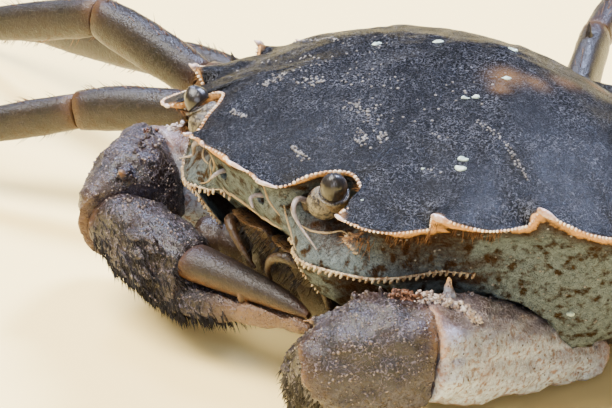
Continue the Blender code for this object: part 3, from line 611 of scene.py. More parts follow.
class Skin:
    """A piece's surface, to set other pieces on."""

    def __init__(self, piece: Object) -> None:
        """Read the surface once.

        Args:
            piece: The piece, in the frame.
        """
        self.points = points_of(piece)
        faces = [tuple(p.vertices) for p in piece.data.polygons]
        self.tree = BVHTree.FromPolygons([Vector(p) for p in self.points], faces)
        self.faces = faces

    def near(self, point: Vector) -> tuple[Vector, Vector]:
        """The surface's nearest place and its normal."""
        spot, normal, _, _ = self.tree.find_nearest(point)
        return spot, normal

    def hit(self, start: Vector, way: Vector) -> tuple[Vector, Vector] | None:
        """The first place that a ray meets, and its normal."""
        spot, normal, _, _ = self.tree.ray_cast(start, way)
        return (spot, normal) if spot else None

    def scatter(self, count: int, draw: random.Random,
                weight: Callable[[Vector, Vector], float]) -> list[tuple[Vector, Vector]]:
        """Places strewn by area and weight.

        Args:
            count: How many places are tried.
            draw: The source of chance.
            weight: The share of places that are kept at a spot, from its place and normal.

        Returns:
            The kept places with their normals.
        """
        corners = [self.points[list(f[:3])] for f in self.faces]
        areas = [float(np.linalg.norm(np.cross(c[1] - c[0], c[2] - c[0]))) for c in corners]
        kept = []
        for i in draw.choices(range(len(self.faces)), areas, k=count):
            face = self.points[list(self.faces[i])]
            shares = [draw.random() + 0.05 for _ in face]
            spot = Vector(np.average(face, axis=0, weights=shares))
            normal = Vector(np.cross(face[1] - face[0], face[2] - face[0])).normalized()
            if draw.random() < weight(spot, normal):
                kept.append((spot, normal))
        return kept


class Beads:
    """Many rounded beads in one piece, each a copy of one small ball."""

    def __init__(self, name: str, fineness: int = 2) -> None:
        """Model the ball.

        Args:
            name: The piece's name.
            fineness: The ball's subdivisions.
        """
        self.name = name
        ball = added(bpy.ops.mesh.primitive_ico_sphere_add, f"{name}_ball", subdivisions=fineness, radius=1.0)
        self.ball = np.array([v.co[:] for v in ball.data.vertices])
        self.faces = np.array([p.vertices[:] for p in ball.data.polygons])
        bpy.data.objects.remove(ball)
        self.placed: list[np.ndarray] = []

    def add(self, spot: Vector, up: Vector, sizes: tuple[float, float, float],
            along: Vector | None = None) -> None:
        """Set one bead.

        Args:
            spot: Its middle, in body units.
            up: The way its third size points.
            sizes: Half sizes, along, across and up.
            along: The way its first size points, as near as up allows.
        """
        up = up.normalized()
        lead = along if along is not None else up.orthogonal()
        side = up.cross(lead).normalized()
        basis = np.array([side.cross(up)[:], side[:], up[:]])
        self.placed.append((self.ball * np.array(sizes)) @ basis + np.array(spot[:]))

    def build(self, look: Finish, slot: Slot) -> Object | None:
        """Join the beads in one piece."""
        if not self.placed:
            return None
        count = len(self.ball)
        faces = np.concatenate([self.faces + i * count for i in range(len(self.placed))])
        return finish(mesh_piece(self.name, np.concatenate(self.placed), faces.tolist()), look, slot)


class Hairs:
    """Many tapered solid hairs in one piece, with the OFBake map."""

    # Rings from the root: their shares of the length, and of the thickness
    SHARES = (0.0, 0.38, 0.72)
    TAPER = (1.0, 0.85, 0.5)
    # Angles of a ring's three corners
    CORNERS = (0.0, 2.0944, 4.1888)
    # Size of a hair on the flat map, and the share of its length that is under the skin
    PATCH = 0.003
    SUNK = 0.12

    def __init__(self, name: str, unwrap: Callable[[Vector], tuple[float, float]]) -> None:
        """Start an empty coat.

        Args:
            name: The piece's name.
            unwrap: A skin place's spot on the flat map.
        """
        self.name = name
        self.unwrap = unwrap
        self.points: list[Vector] = []
        self.faces: list[tuple[int, ...]] = []
        self.map: list[tuple[float, float]] = []

    def add(self, root: Vector, aim: Vector, length: float, width: float, sag: Vector = Vector()) -> None:
        """Grow one hair.

        Args:
            root: Its place on the skin, in body units.
            aim: The way it starts.
            length: Its length.
            width: Its thickness at the root.
            sag: How far its tip is bent off the straight, as a share of its length.
        """
        aim = aim.normalized()
        across = aim.orthogonal().normalized()
        beside = aim.cross(across)
        first = len(self.points)
        u, v = self.unwrap(root)
        sides = [across * math.cos(a) + beside * math.sin(a) for a in self.CORNERS]
        for share, taper in zip(self.SHARES, self.TAPER):
            middle = root + aim * length * (share - self.SUNK) + sag * length * share * share
            for i, side in enumerate(sides):
                self.points.append(middle + side * width * 0.5 * taper)
                self.map.append((u + self.PATCH * i / 3, v + self.PATCH * share))
        self.points.append(root + aim * length * (1 - self.SUNK) + sag * length)
        self.map.append((u + self.PATCH / 3, v + self.PATCH))
        rows = len(self.SHARES)
        self.faces.append((first + 2, first + 1, first))
        for row in range(rows - 1):
            for i in range(3):
                a, b = first + row * 3 + i, first + row * 3 + (i + 1) % 3
                self.faces.append((a, b, b + 3, a + 3))
        top = first + rows * 3
        self.faces += [(top - 3 + i, top - 3 + (i + 1) % 3, top) for i in range(3)]

    def build(self, look: PlainFinish, slot: Slot) -> Object | None:
        """Join the hairs in one piece."""
        if not self.points:
            return None
        piece = mesh_piece(self.name, np.array([p[:] for p in self.points]), self.faces)
        flat = piece.data.uv_layers.new(name="OFBake")
        corners = np.empty(len(piece.data.loops), dtype=int)
        piece.data.loops.foreach_get("vertex_index", corners)
        flat.data.foreach_set("uv", np.clip(np.array(self.map), 0.0, 1.0)[corners].ravel())
        return finish(piece, look, slot)


def tube(name: str, line: Sequence[Vector], radii: Sequence[float]) -> Object:
    """A round tapering form along a line, closed at both ends.

    Args:
        name: The piece's name.
        line: Its middle points, in body units.
        radii: Radii, spread evenly along the line.

    Returns:
        The new object.
    """
    bpy.ops.object.select_all(action="DESELECT")
    form = bpy.data.curves.new(name, "CURVE")
    form.dimensions = "3D"
    form.bevel_depth = BODY_UNIT
    form.bevel_resolution = 2
    form.use_fill_caps = True
    spline = form.splines.new("POLY")
    spline.points.add(len(line) - 1)
    spread = np.interp(np.linspace(0, 1, len(line)), np.linspace(0, 1, len(radii)), radii)
    for knot, spot, radius in zip(spline.points, line, spread):
        knot.co = (*place(*spot), 1.0)
        knot.radius = float(radius)
    select_only(linked(name, form))
    bpy.ops.object.convert(target="MESH")
    return bpy.context.active_object


@dataclass(frozen=True)
class Rim:
    """The carapace's toothed outline from the median notch to the tail, as in the solids."""

    front: tuple = (
        ((0.0, -0.045, 0.012), (0.045, -0.067, 0.024)),
        ((0.045, -0.067, 0.024), (0.086, -0.043, 0.010)),
        ((0.086, -0.043, 0.010), (0.124, -0.056, 0.014)),
        ((0.124, -0.056, 0.014), (0.146, -0.022, 0.0)),
    )
    orbit: tuple = (((0.146, -0.022, 0.0), (0.164, 0.012, 0.022), (0.186, 0.048, 0.031), (0.216, 0.070, 0.033),
                     (0.248, 0.068, 0.024), (0.276, 0.048, 0.010), (0.288, -0.002, 0.0)),)
    margin: tuple = (
        ((0.288, -0.002, 0.0), (0.330, 0.008, -0.007), (0.366, 0.050, -0.015), (0.381, 0.122, -0.018)),
        ((0.381, 0.122, -0.018), (0.404, 0.112, 0.016)),
        ((0.404, 0.112, 0.016), (0.432, 0.150, 0.0), (0.450, 0.205, -0.015), (0.449, 0.266, -0.018)),
        ((0.449, 0.266, -0.018), (0.462, 0.279, 0.012)),
        ((0.462, 0.279, 0.012), (0.490, 0.316, -0.014), (0.512, 0.362, -0.036), (0.514, 0.400, -0.045)),
        ((0.514, 0.400, -0.045), (0.528, 0.405, -0.030)),
    )
    tail: tuple = (((0.528, 0.405, -0.030), (0.530, 0.470, -0.064), (0.511, 0.580, -0.090),
                    (0.446, 0.730, -0.108), (0.350, 0.845, -0.116), (0.250, 0.908, -0.119),
                    (0.130, 0.931, -0.119), (0.0, 0.935, -0.118)),)
    step: float = 0.004

    WHOLE = ("front", "orbit", "margin", "tail")

    def line(self, *names: str) -> list[Vector]:
        """The outline's points through the named stretches, on the crab's left."""
        out: list[Vector] = []
        for name in names:
            for run in getattr(self, name):
                knots = vectors(run)
                longest = max((b - a).length for a, b in zip(knots, knots[1:]))
                out += catmull(knots, max(1, round(longest / self.step)))
                last = knots[-1]
        return out + [last]


# Middle of the back shell's plan, which its teeth and walls are set round; its foot and height
SHELL_MIDDLE = Vector((0.0, 0.47, 0.0))
SHELL_FOOT, SHELL_HEIGHT = -0.30, 0.45


def outward(spot: Vector, rise: float = 0.0) -> Vector:
    """The way from the shell's middle to a place, level but for this rise."""
    out = spot - SHELL_MIDDLE
    out.z = rise
    return out


def flat_map(around: float, along: float) -> tuple[float, float]:
    """A spot on the flat map, from an angle and a share of the length."""
    return (around / math.tau + 0.5) * 0.99, min(0.99, max(0.0, along))


def shell_unwrap(spot: Vector) -> tuple[float, float]:
    """The back shell's flat map: round its middle, and down from its crown."""
    return flat_map(math.atan2(spot.x, SHELL_MIDDLE.y - spot.y), (spot.z - SHELL_FOOT) / SHELL_HEIGHT)


@dataclass
class BackShell:
    """The back shell with its toothed beaded rim, side walls, granules and bristles."""

    levels: int = 2
    seed: int = 7
    rim: Rim = field(default_factory=Rim)
    # Edges of the solid that turn by more than this stay sharp
    sharp_degrees: float = 60.0
    # Depth and width of the surface's unevenness, and of the specks', in millimetres
    uneven: tuple = (0.36, 9.0)
    speck_uneven: tuple = (0.16, 0.6)
    # Beads along the rim: stretch, spacing and radius, and how far up they point
    rows: tuple = (("front", 0.0070, 0.0026), ("orbit", 0.0080, 0.0032), ("margin", 0.0070, 0.0028))
    bead_rise: float = 0.12
    # Plate beside the mouth: its columns, thickness, unevenness and bulge in front, and from where
    # and over what width it turns brown, as painted shade under the ridge's overhang
    plate_columns: int = 16
    plate_thickness: float = 0.006
    plate_uneven: tuple = (0.12, 3.0)
    plate_bulge: Vector = field(default_factory=lambda: Vector((0.25, -0.9, 0.1)) * 0.012)
    plate_brown: tuple = (0.205, 0.02)
    # Ridge below the orbit, at ray angles in degrees: radius from the shell's middle, and height
    ridge: tuple = ((13, 0.470, -0.112), (18, 0.503, -0.112), (24, 0.528, -0.112), (35, 0.532, -0.112),
                    (40, 0.520, -0.112), (48, 0.468, -0.112), (56, 0.458, -0.118))
    # Spacing and radius of the teeth on that ridge and on the mouth frame, and the lobe's radius
    ridge_teeth: tuple = ((0.0108, 0.0038), (0.0092, 0.0030))
    lobe_tooth: float = 0.0036
    # Pale edges of both ridges: knots' spacing, and radii
    edge_spacing: float = 0.006
    edge_radii: tuple = (0.0010, 0.0026, 0.0026, 0.0010)
    # The shell's top: the least rise of its normals, and the most that it lies below the rim
    top_slope: float = 0.62
    top_drop: float = 0.012
    # The side walls' start: how far over the rim, how steeply it sinks away from it, and its least width
    wall_start: float = 0.002
    wall_slope: float = 0.35
    wall_width: float = 0.0015
    # Millimetres below the rim where the walls are fully pale
    pale_mm: float = 0.3
    # The brown in the orbit, partly painted shade of its hollow: its middle, and its reach
    orbit: Vector = field(default_factory=lambda: Vector((0.220, 0.032, -0.014)))
    hollow: float = 0.072
    # Smoothing of the back: least rise of the normals, most drop by the rim, how wide that is and most
    # drop past it, shares by body units from the rim, strength and rounds
    relax_slope: float = 0.10
    relax_drops: tuple = (0.004, 0.04, 0.045)
    relax_shares: tuple = ((0.006, 0.030, 0.120, 0.200), (0.0, 1.0, 1.0, 0.12))
    relax_factor: float = 0.8
    relax_rounds: int = 220
    # Reach of the brown under the rim in millimetres, partly painted shade under the overhang, before and
    # behind the second tooth; from this far off the middle it widens by so many millimetres a body unit
    brown_front: float = 4.2
    brown_widening: float = 45.0
    widening_from: float = 0.30
    brown_most: float = 7.0
    brown_back: float = 1.5
    second_tooth: tuple = (0.28, 0.20)
    # Reach of the painted shade in the furrow and below the ridge, and how far below the ridge it starts
    groove_reach: float = 0.012
    ridge_reach: float = 0.030
    ridge_drop: float = 0.002
    # The furrow of the side wall
    groove: tuple = ((0.335, 0.160, -0.140), (0.337, 0.168, -0.125), (0.374, 0.203, -0.101),
                     (0.395, 0.238, -0.088))
    # Points of the rim's teeth, and how far they stand out
    teeth: tuple = ((0.045, -0.067, 0.024), (0.124, -0.056, 0.014), (0.288, -0.002, 0.0), (0.404, 0.112, 0.016),
                    (0.462, 0.279, 0.012), (0.528, 0.405, -0.030))
    tooth_reach: float = 0.009
    tooth_way: Vector = field(default_factory=lambda: Vector((0.5, -0.6, 0.5)).normalized())
    # Each point's other knots in steps back along the rim, its radii, and the size of the first three
    tooth_steps: tuple = (3, 6, 10)
    tooth_radii: tuple = (0.0012, 0.0050, 0.0066, 0.0056, 0.0020)
    small_teeth: int = 3
    small_size: float = 0.6
    # Reach of the cream round each point, and the pixels of the toothed lobe under the orbit
    tip_reach: float = 0.018
    lobe: tuple = ((351, 234), (348, 237), (346, 240), (347, 243), (350, 246), (353, 249), (356, 253))
    # Edge of the mouth frame, and the far side of the plate that it bounds
    frame_edge: tuple = ((0.178, -0.012, -0.116), (0.172, -0.002, -0.134), (0.170, 0.014, -0.158),
                         (0.172, 0.040, -0.192))
    frame_back: tuple = ((0.285, 0.088, -0.122), (0.278, 0.100, -0.150), (0.270, 0.114, -0.185),
                         (0.262, 0.130, -0.230))
    # Pixels of the photograph's marks: stains with width and share, the crest's ends, clusters with
    # width and count, the chain, and specks with length and width
    stains: tuple = (((508, 76), 0.030, 0.55), ((535, 82), 0.022, 0.45), ((565, 82), 0.022, 0.4),
                     ((598, 88), 0.022, 0.5), ((500, 88), 0.016, 0.6))
    crest: tuple = ((290, 146), (308, 160))
    clusters: tuple = (((362, 138), 0.018, 26), ((355, 105), 0.018, 20), ((310, 78), 0.022, 18),
                       ((278, 75), 0.020, 16), ((440, 135), 0.014, 6), ((432, 170), 0.030, 6),
                       ((470, 95), 0.06, 14), ((400, 120), 0.06, 14), ((385, 85), 0.06, 12))
    chain: tuple = ((478, 122), (492, 131), (503, 141), (512, 152), (519, 165), (528, 182))
    specks: tuple = (((461, 168), 0.0115, 0.0080), ((462, 159), 0.0090, 0.0066), ((466, 98), 0.0080, 0.0040),
                     ((476, 97), 0.0080, 0.0040), ((375, 44), 0.0100, 0.0070), ((437, 42), 0.0100, 0.0050),
                     ((507, 78), 0.0090, 0.0060), ((513, 50), 0.0090, 0.0060), ((422, 169), 0.0035, 0.0030),
                     ((569, 314), 0.0085, 0.0045), ((362, 200), 0.0030, 0.0026))
    speck_height: float = 0.0022
    speck_way: Vector = field(default_factory=lambda: Vector((0.52, 0.85, 0.0)))
    # The walls' granules: how many are tried, where they end, and where they thicken
    wall_granules: int = 2600
    wall_rise: float = 0.25
    wall_foot: float = -0.25
    wall_end: float = 0.75
    wall_inside: float = 0.12
    thick_from: float = 0.12
    # The back's: how many the crest has, the chain's spacing, and the radii of all
    crest_granules: int = 26
    chain_spacing: float = 0.0072
    wall_radii: tuple = (0.0012, 0.0026)
    cluster_radii: tuple = (0.0014, 0.0030)
    crest_radii: tuple = (0.0016, 0.0032)
    chain_radii: tuple = (0.0014, 0.0028)
    # Bristles on each side: in the orbit, below the margin, and on the tooth under the orbit
    orbit_bristles: int = 150
    margin_bristles: int = 90
    tooth_bristles: int = 60
    bristle_widths: tuple = (0.0014, 0.0012, 0.0013)
    # Line on which the last of them stand
    tooth_line: tuple = ((0.298, 0.066, -0.050), (0.287, 0.022, -0.047))

    # Most cream at the tips and stains, and most brown at the stains, in the orbit and under the rim,
    # there partly painted shade, and of the painted shade under the ridge and in the furrow
    TIP_CREAM, STAIN_CREAM = 0.6, 0.30
    STAIN_BROWN, ORBIT_BROWN, RIM_BROWN, RIDGE_BROWN = 0.5, 1.1, 0.97, 0.95

    def build(self, camera: "PhotoCamera") -> Skin:
        """Make the shell and what grows on it.

        Args:
            camera: The photograph's camera, which places single marks.

        Returns:
            The shell's surface.
        """
        piece = smooth_copy("carapace", "back_shell", self.levels, self.sharp_degrees, 1.0)
        self.relax(piece)
        roughen(piece, *self.uneven)
        self.skin = Skin(piece)
        self.camera = camera
        paint(piece, *self.zones(normals_of(piece)))
        finish(piece, BACK, Slot.SHELL, "carapace")
        draw = random.Random(self.seed)
        self.beaded_rim(draw)
        self.tooth_points()
        self.orbit_ridge(draw)
        self.mouth_frame()
        self.granules(draw)
        self.marks(draw)
        self.bristles(draw)
        return self.skin

    def line_tree(self, line: Sequence[Vector]) -> KDTree:
        """A search tree of a line and its mirror image."""
        return search_tree([mirrored(p, side) for p in line for side in Side])

    def relax(self, piece: Object) -> None:
        """Even out the folds of the back, away from its rim."""
        tree = self.line_tree(self.rim.line(*self.rim.WHOLE))
        group = piece.vertex_groups.new(name="back")
        by_rim, width, past = self.relax_drops
        for i, (values, normal) in enumerate(zip(points_of(piece), normals_of(piece))):
            near, _, away = tree.find(Vector(values))
            if normal[2] > self.relax_slope and values[2] > near.z - (by_rim if away < width else past):
                group.add([i], float(np.interp(away, *self.relax_shares)), "REPLACE")
        modify(piece, "SMOOTH", vertex_group=group.name, factor=self.relax_factor, iterations=self.relax_rounds)

    def zones(self, normals: np.ndarray) -> tuple[np.ndarray, np.ndarray]:
        """Colour shares of each point, and its way from the rim in millimetres."""
        points = self.skin.points
        tree = self.line_tree(self.rim.line(*self.rim.WHOLE))
        # Lines that take painted shade: under the ridge and in the furrow
        shaded_brown = self.line_tree(self.ridge_line()), self.line_tree(walk(vectors(self.groove), 0.004))
        out = np.zeros((len(points), 3))
        edge = np.zeros(len(points))
        tips = np.array([mirrored(Vector(tooth), side) for tooth in self.teeth[2:] for side in Side])
        stains = [(self.spot(pixel)[0], wide, share) for pixel, wide, share in self.stains]
        for i, values in enumerate(points):
            p = Vector(values)
            near, _, away = tree.find(p)
            drop = near.z - p.z
            width = max(self.wall_slope * away, self.wall_width)
            below = min(1.0, max(-1.0, (drop + self.wall_start) / width))
            if normals[i][2] > self.top_slope and drop < self.top_drop:
                below = -1.0
            edge[i] = away * below * BODY_UNIT / MILLIMETRE
            tip_off = float(np.linalg.norm(tips - values, axis=1).min())
            out[i, 0] = self.TIP_CREAM * max(0.0, 1 - tip_off / self.tip_reach)
            if below > 0:
                out[i, 1] = min(1.0, edge[i] / self.pale_mm)
                # Brown of the walls: partly painted shade in the orbit and under the rim, painted shade by the
                # ridge and furrow
                out[i, 2] = self.brown(p, edge[i], *shaded_brown)
            else:
                for spot, wide, share in stains:
                    stain = share * math.exp(-((p - spot).length / wide) ** 2)
                    for zone, most in ((0, self.STAIN_CREAM), (2, self.STAIN_BROWN)):
                        out[i, zone] = max(out[i, zone], most * stain)
        return out, edge

    def brown(self, p: Vector, edge: float, ridge: KDTree, groove: KDTree) -> float:
        """Share of brown on the walls: partly painted shade in the orbit and under the rim, painted shade by
        the ridge and furrow.
        """
        hollow = (Vector((abs(p.x), p.y, p.z)) - self.orbit).length
        front = self.brown_front + self.brown_widening * max(0.0, abs(p.x) - self.widening_from)
        inside, behind = self.second_tooth
        reach = min(front, self.brown_most) if p.y < behind and abs(p.x) > inside else self.brown_back
        foot, _, off = ridge.find(p)
        return max(self.ORBIT_BROWN * math.exp(-(hollow / self.hollow) ** 4),
                   self.RIM_BROWN * math.exp(-(edge / reach) ** 4),
                   self.RIDGE_BROWN if off < self.ridge_reach and p.z < foot.z - self.ridge_drop else 0.0,
                   self.RIDGE_BROWN * math.exp(-(groove.find(p)[2] / self.groove_reach) ** 2))

    def spot(self, pixel: tuple[float, float]) -> tuple[Vector, Vector]:
        """The shell's place and normal at a pixel of the photograph."""
        found = self.skin.hit(*self.camera.ray(pixel))
        if found is None:
            raise ValueError(f"nothing of the shell at {pixel}")
        return found

    def beaded_rim(self, draw: random.Random) -> None:
        """Beads along the front, the orbits and the toothed margin."""
        beads = Beads("rim_beads", 2)
        for name, spacing, radius in self.rows:
            for side in Side:
                for p in walk(self.rim.line(name), spacing):
                    spot, _ = self.skin.near(mirrored(p, side))
                    out = outward(spot, self.bead_rise)
                    r = radius * draw.uniform(0.8, 1.15)
                    beads.add(spot + out.normalized() * r * 0.25, out, (r, r * 0.9, r * 1.1))
        beads.build(BEAD, Slot.SHELL)

    def tooth_points(self) -> None:
        """The pale points of the rim's teeth, each running back along the rim."""
        line = self.rim.line(*self.rim.WHOLE)
        for side in Side:
            for number, tooth in enumerate(self.teeth, 1):
                tip = Vector(tooth)
                start = min(range(len(line)), key=lambda i: (line[i] - tip).length)
                run = [line[min(len(line) - 1, start + k)] for k in self.tooth_steps]
                big = 1.0 if number > self.small_teeth else self.small_size
                reach = self.tooth_way * self.tooth_reach * big
                knots = [mirrored(p, side) for p in (tip + reach, tip, *run)]
                point = tube(f"tooth_point_{side.label}_{number}", catmull(knots, 4),
                             [r * big for r in self.tooth_radii])
                finish(point, TOOTH_POINT, Slot.SHELL)

    def ridge_line(self) -> list[Vector]:
        """The ridge below the orbit, on the crab's left."""
        knots = []
        for degrees, radius, z in self.ridge:
            a = math.radians(degrees)
            knots.append(Vector((radius * math.sin(a), SHELL_MIDDLE.y - radius * math.cos(a), z)))
        return catmull(knots, 12)

    def orbit_ridge(self, draw: random.Random) -> None:
        """Down-hanging teeth along the ridges below the orbit and beside the mouth."""
        teeth = Beads("ridge_teeth", 2)
        inner = catmull(vectors(self.frame_edge), 10)
        for line, (spacing, r) in zip((self.ridge_line(), inner), self.ridge_teeth):
            for side in Side:
                for p in walk(line, spacing):
                    spot = mirrored(p, side)
                    if line is not inner:
                        spot, _ = self.skin.near(spot)
                    out = outward(spot).normalized()
                    size = r * draw.uniform(0.85, 1.15)
                    hang = (out * 0.4 + Vector((-0.6 * side.value, 0, -1))).normalized()
                    spot = spot + jitter(draw, 0.0008)
                    teeth.add(spot + out * size * 0.1 - Vector((0, 0, 0.7 * size)), hang,
                              (size * 0.8, size * 0.8, size * 1.8))
        for pixel in self.lobe:
            spot, up = self.spot(pixel)
            for side in Side:
                size = self.lobe_tooth * draw.uniform(0.85, 1.15)
                way = mirrored(up, side) + Vector((-0.9 * side.value, -0.2, -0.3))
                teeth.add(mirrored(spot, side), way, (size * 0.8, size * 0.8, size * 1.7))
        teeth.build(RIDGE_TOOTH, Slot.SHELL)
        for side in Side:
            edge = [self.skin.near(mirrored(p, side))[0] for p in walk(self.ridge_line(), self.edge_spacing)]
            for name, line in (("suborbital", edge), ("mouth", [mirrored(p, side) for p in inner])):
                finish(tube(f"{name}_edge_{side.label}", line, self.edge_radii), RIDGE_TOOTH, Slot.SHELL)

    def mouth_frame(self) -> None:
        """The curved plate between the ridge below the orbit and the mouth, on each side."""
        front, back = curve(self.frame_edge, 4), curve(self.frame_back, 4)
        rows = len(front) - 1
        for side in Side:
            plate = added(bpy.ops.mesh.primitive_grid_add, f"mouth_frame_{side.label}",
                          x_subdivisions=self.plate_columns, y_subdivisions=rows, size=2)
            for vertex in plate.data.vertices:
                share = (vertex.co.x + 1) / 2
                row = round((vertex.co.y + 1) / 2 * rows)
                bulge = self.plate_bulge * math.sin(math.pi * share)
                vertex.co = place(*mirrored(front[row].lerp(back[row], share) + bulge, side))
            modify(plate, "SOLIDIFY", thickness=self.plate_thickness * BODY_UNIT, offset=0.0)
            bpy.ops.object.mode_set(mode="EDIT")
            bpy.ops.mesh.select_all(action="SELECT")
            bpy.ops.mesh.normals_make_consistent(inside=False)
            bpy.ops.object.mode_set(mode="OBJECT")
            roughen(plate, *self.plate_uneven)
            # The plate's outer part turns brown: painted shade under the ridge's overhang
            start, width = self.plate_brown
            brown = np.clip((np.abs(points_of(plate)[:, 0]) - start) / width, 0, 1)
            paint(plate, np.outer(brown, (0, 0, 1)) + (0, 1, 0))
            finish(plate, BACK, Slot.SHELL)

    def granules(self, draw: random.Random) -> None:
        """Lone granules of the walls, and the clusters, crest and chain on the back."""
        fine = Beads("shell_granules", 1)

        def on_wall(spot: Vector, normal: Vector) -> float:
            """Share of granules at a place: the walls, thicker behind the orbit."""
            if normal.z > self.wall_rise or spot.z < self.wall_foot:
                return 0.0
            if spot.y > self.wall_end or abs(spot.x) < self.wall_inside:
                return 0.0
            return 1.0 if spot.y > self.thick_from else 0.35

        for spot, normal in self.skin.scatter(self.wall_granules, draw, on_wall):
            r = draw.uniform(*self.wall_radii)
            fine.add(spot, normal, (r * 1.2, r, r * 0.7))
        for pixel, wide, count in self.clusters:
            middle, _ = self.spot(pixel)
            for side in Side:
                for _ in range(count):
                    p = middle + jitter(draw, wide / 2, wide / 2)
                    self.bump(fine, mirrored(p, side), draw.uniform(*self.cluster_radii))
        first, last = (self.spot(pixel)[0] for pixel in self.crest)
        for side in Side:
            for _ in range(self.crest_granules):
                p = first.lerp(last, draw.random()) + jitter(draw, 0.003, 0.003)
                self.bump(fine, mirrored(p, side), draw.uniform(*self.crest_radii))
        chain = [self.spot(pixel)[0] for pixel in self.chain]
        for side in Side:
            for p in walk(chain, self.chain_spacing):
                for _ in range(2):
                    q = p + jitter(draw, 0.0024, 0.0024)
                    self.bump(fine, mirrored(q, side), draw.uniform(*self.chain_radii))
        fine.build(GRANULE, Slot.SHELL)

    def bump(self, beads: Beads, point: Vector, radius: float) -> None:
        """Set one low granule on the shell by a point."""
        found = self.skin.hit(Vector((point.x, point.y, 0.5)), -UPWARD)
        if found:
            beads.add(found[0], found[1], (radius * 1.1, radius, radius * 0.8))

    def marks(self, draw: random.Random) -> None:
        """Lime specks that have grown on the shell."""
        specks = Beads("lime_specks", 2)
        for pixel, long, wide in self.specks:
            spot, up = self.spot(pixel)
            for _ in range(3):
                shift = jitter(draw, long * 0.25, long * 0.25)
                sizes = (long * draw.uniform(0.7, 1.0), wide * draw.uniform(0.7, 1.0), self.speck_height)
                specks.add(spot + shift * 0.5, up, sizes, self.speck_way)
        roughen(specks.build(SPECK, Slot.SHELL), *self.speck_uneven)

    def bristles(self, draw: random.Random) -> None:
        """Bristles in the orbits, below the margin and on the tooth under the orbit."""
        hairs = Hairs("shell_bristles", shell_unwrap)
        orbit = self.rim.line("orbit")
        margin = self.rim.line("margin")
        back, front = vectors(self.tooth_line)
        orbital, marginal, dental = self.bristle_widths
        for side in Side:
            for _ in range(self.orbit_bristles):
                share = draw.uniform(0.52, 0.97)
                p = orbit[int(share * (len(orbit) - 1))] + Vector((0.004, 0, -draw.uniform(0.012, 0.055)))
                spot, _ = self.skin.near(mirrored(p, side))
                aim = Vector((-side.value, draw.uniform(-0.5, 0.1), draw.uniform(-0.45, 0.25)))
                hairs.add(spot, aim, draw.uniform(0.018, 0.034), orbital,
                          Vector((0, draw.uniform(-0.3, 0.1), draw.uniform(-0.35, 0.1))))
            for _ in range(self.margin_bristles):
                share = draw.choice((draw.uniform(0.22, 0.42), draw.uniform(0.46, 0.60)))
                p = margin[int(share * (len(margin) - 1))] + Vector((-0.006, 0, -draw.uniform(0.012, 0.020)))
                spot, _ = self.skin.near(mirrored(p, side))
                aim = outward(spot).normalized() * draw.uniform(0.3, 0.8) + jitter(draw, 0.25, 0.25) - UPWARD
                hairs.add(spot, aim, draw.uniform(0.012, 0.026), marginal,
                          Vector((0, -0.2, draw.uniform(-0.2, 0.3))))
            for _ in range(self.tooth_bristles):
                p = back.lerp(front, draw.random())
                spot, normal = self.skin.near(mirrored(p + jitter(draw, 0.006, 0.004, 0.006), side))
                aim = normal + Vector((0, -0.2, -0.9)) + jitter(draw, 0.25)
                hairs.add(spot, aim, draw.uniform(0.010, 0.034), dental, Vector((0, 0, -0.2)))
        hairs.build(BRISTLE, Slot.SHELL)


class LimbForm:
    """A limb segment's axis and surface, to set details on."""

    # Far enough from the axis to be outside every segment, in body units
    OUTSIDE = 0.3

    def __init__(self, piece: Object, ends: Sequence[Vector] | None = None) -> None:
        """Measure the segment.

        Args:
            piece: The segment's piece, in the frame.
            ends: The joint centres at its two ends; without them the axis is its longest way, outward.
        """
        self.skin = Skin(piece)
        points = self.skin.points
        if ends:
            middle = np.array((ends[0] + ends[1]) / 2)
            axis = np.array((ends[1] - ends[0]).normalized())
        else:
            middle = points.mean(axis=0)
            _, _, ways = np.linalg.svd(points - middle, full_matrices=False)
            axis = ways[0]
            if axis[:2] @ (middle[:2] - np.array(SHELL_MIDDLE[:2])) < 0:
                axis = -axis
        along = (points - middle) @ axis
        self.low, self.high = float(along.min()), float(along.max())
        self.middle, self.axis = Vector(middle), Vector(axis)
        self.up = (UPWARD - self.axis * self.axis.z).normalized()
        self.side = self.axis.cross(self.up)

    def share(self, spot: Vector) -> float:
        """How far along the segment a place is, from 0 to 1."""
        return ((spot - self.middle).dot(self.axis) - self.low) / (self.high - self.low)

    def ring(self, share: float, degrees: float) -> tuple[Vector, Vector]:
        """The surface's place and normal at a share of the length and a turn from the top."""
        core = self.middle + self.axis * (self.low + (self.high - self.low) * share)
        a = math.radians(degrees)
        way = self.up * math.cos(a) + self.side * math.sin(a)
        found = self.skin.hit(core + way * self.OUTSIDE, -way)
        return found if found else (core, way)

    def unwrap(self, spot: Vector) -> tuple[float, float]:
        """The segment's flat map: round its axis, and along it."""
        off = spot - self.middle
        return flat_map(math.atan2(off.dot(self.side), off.dot(self.up)), self.share(spot))


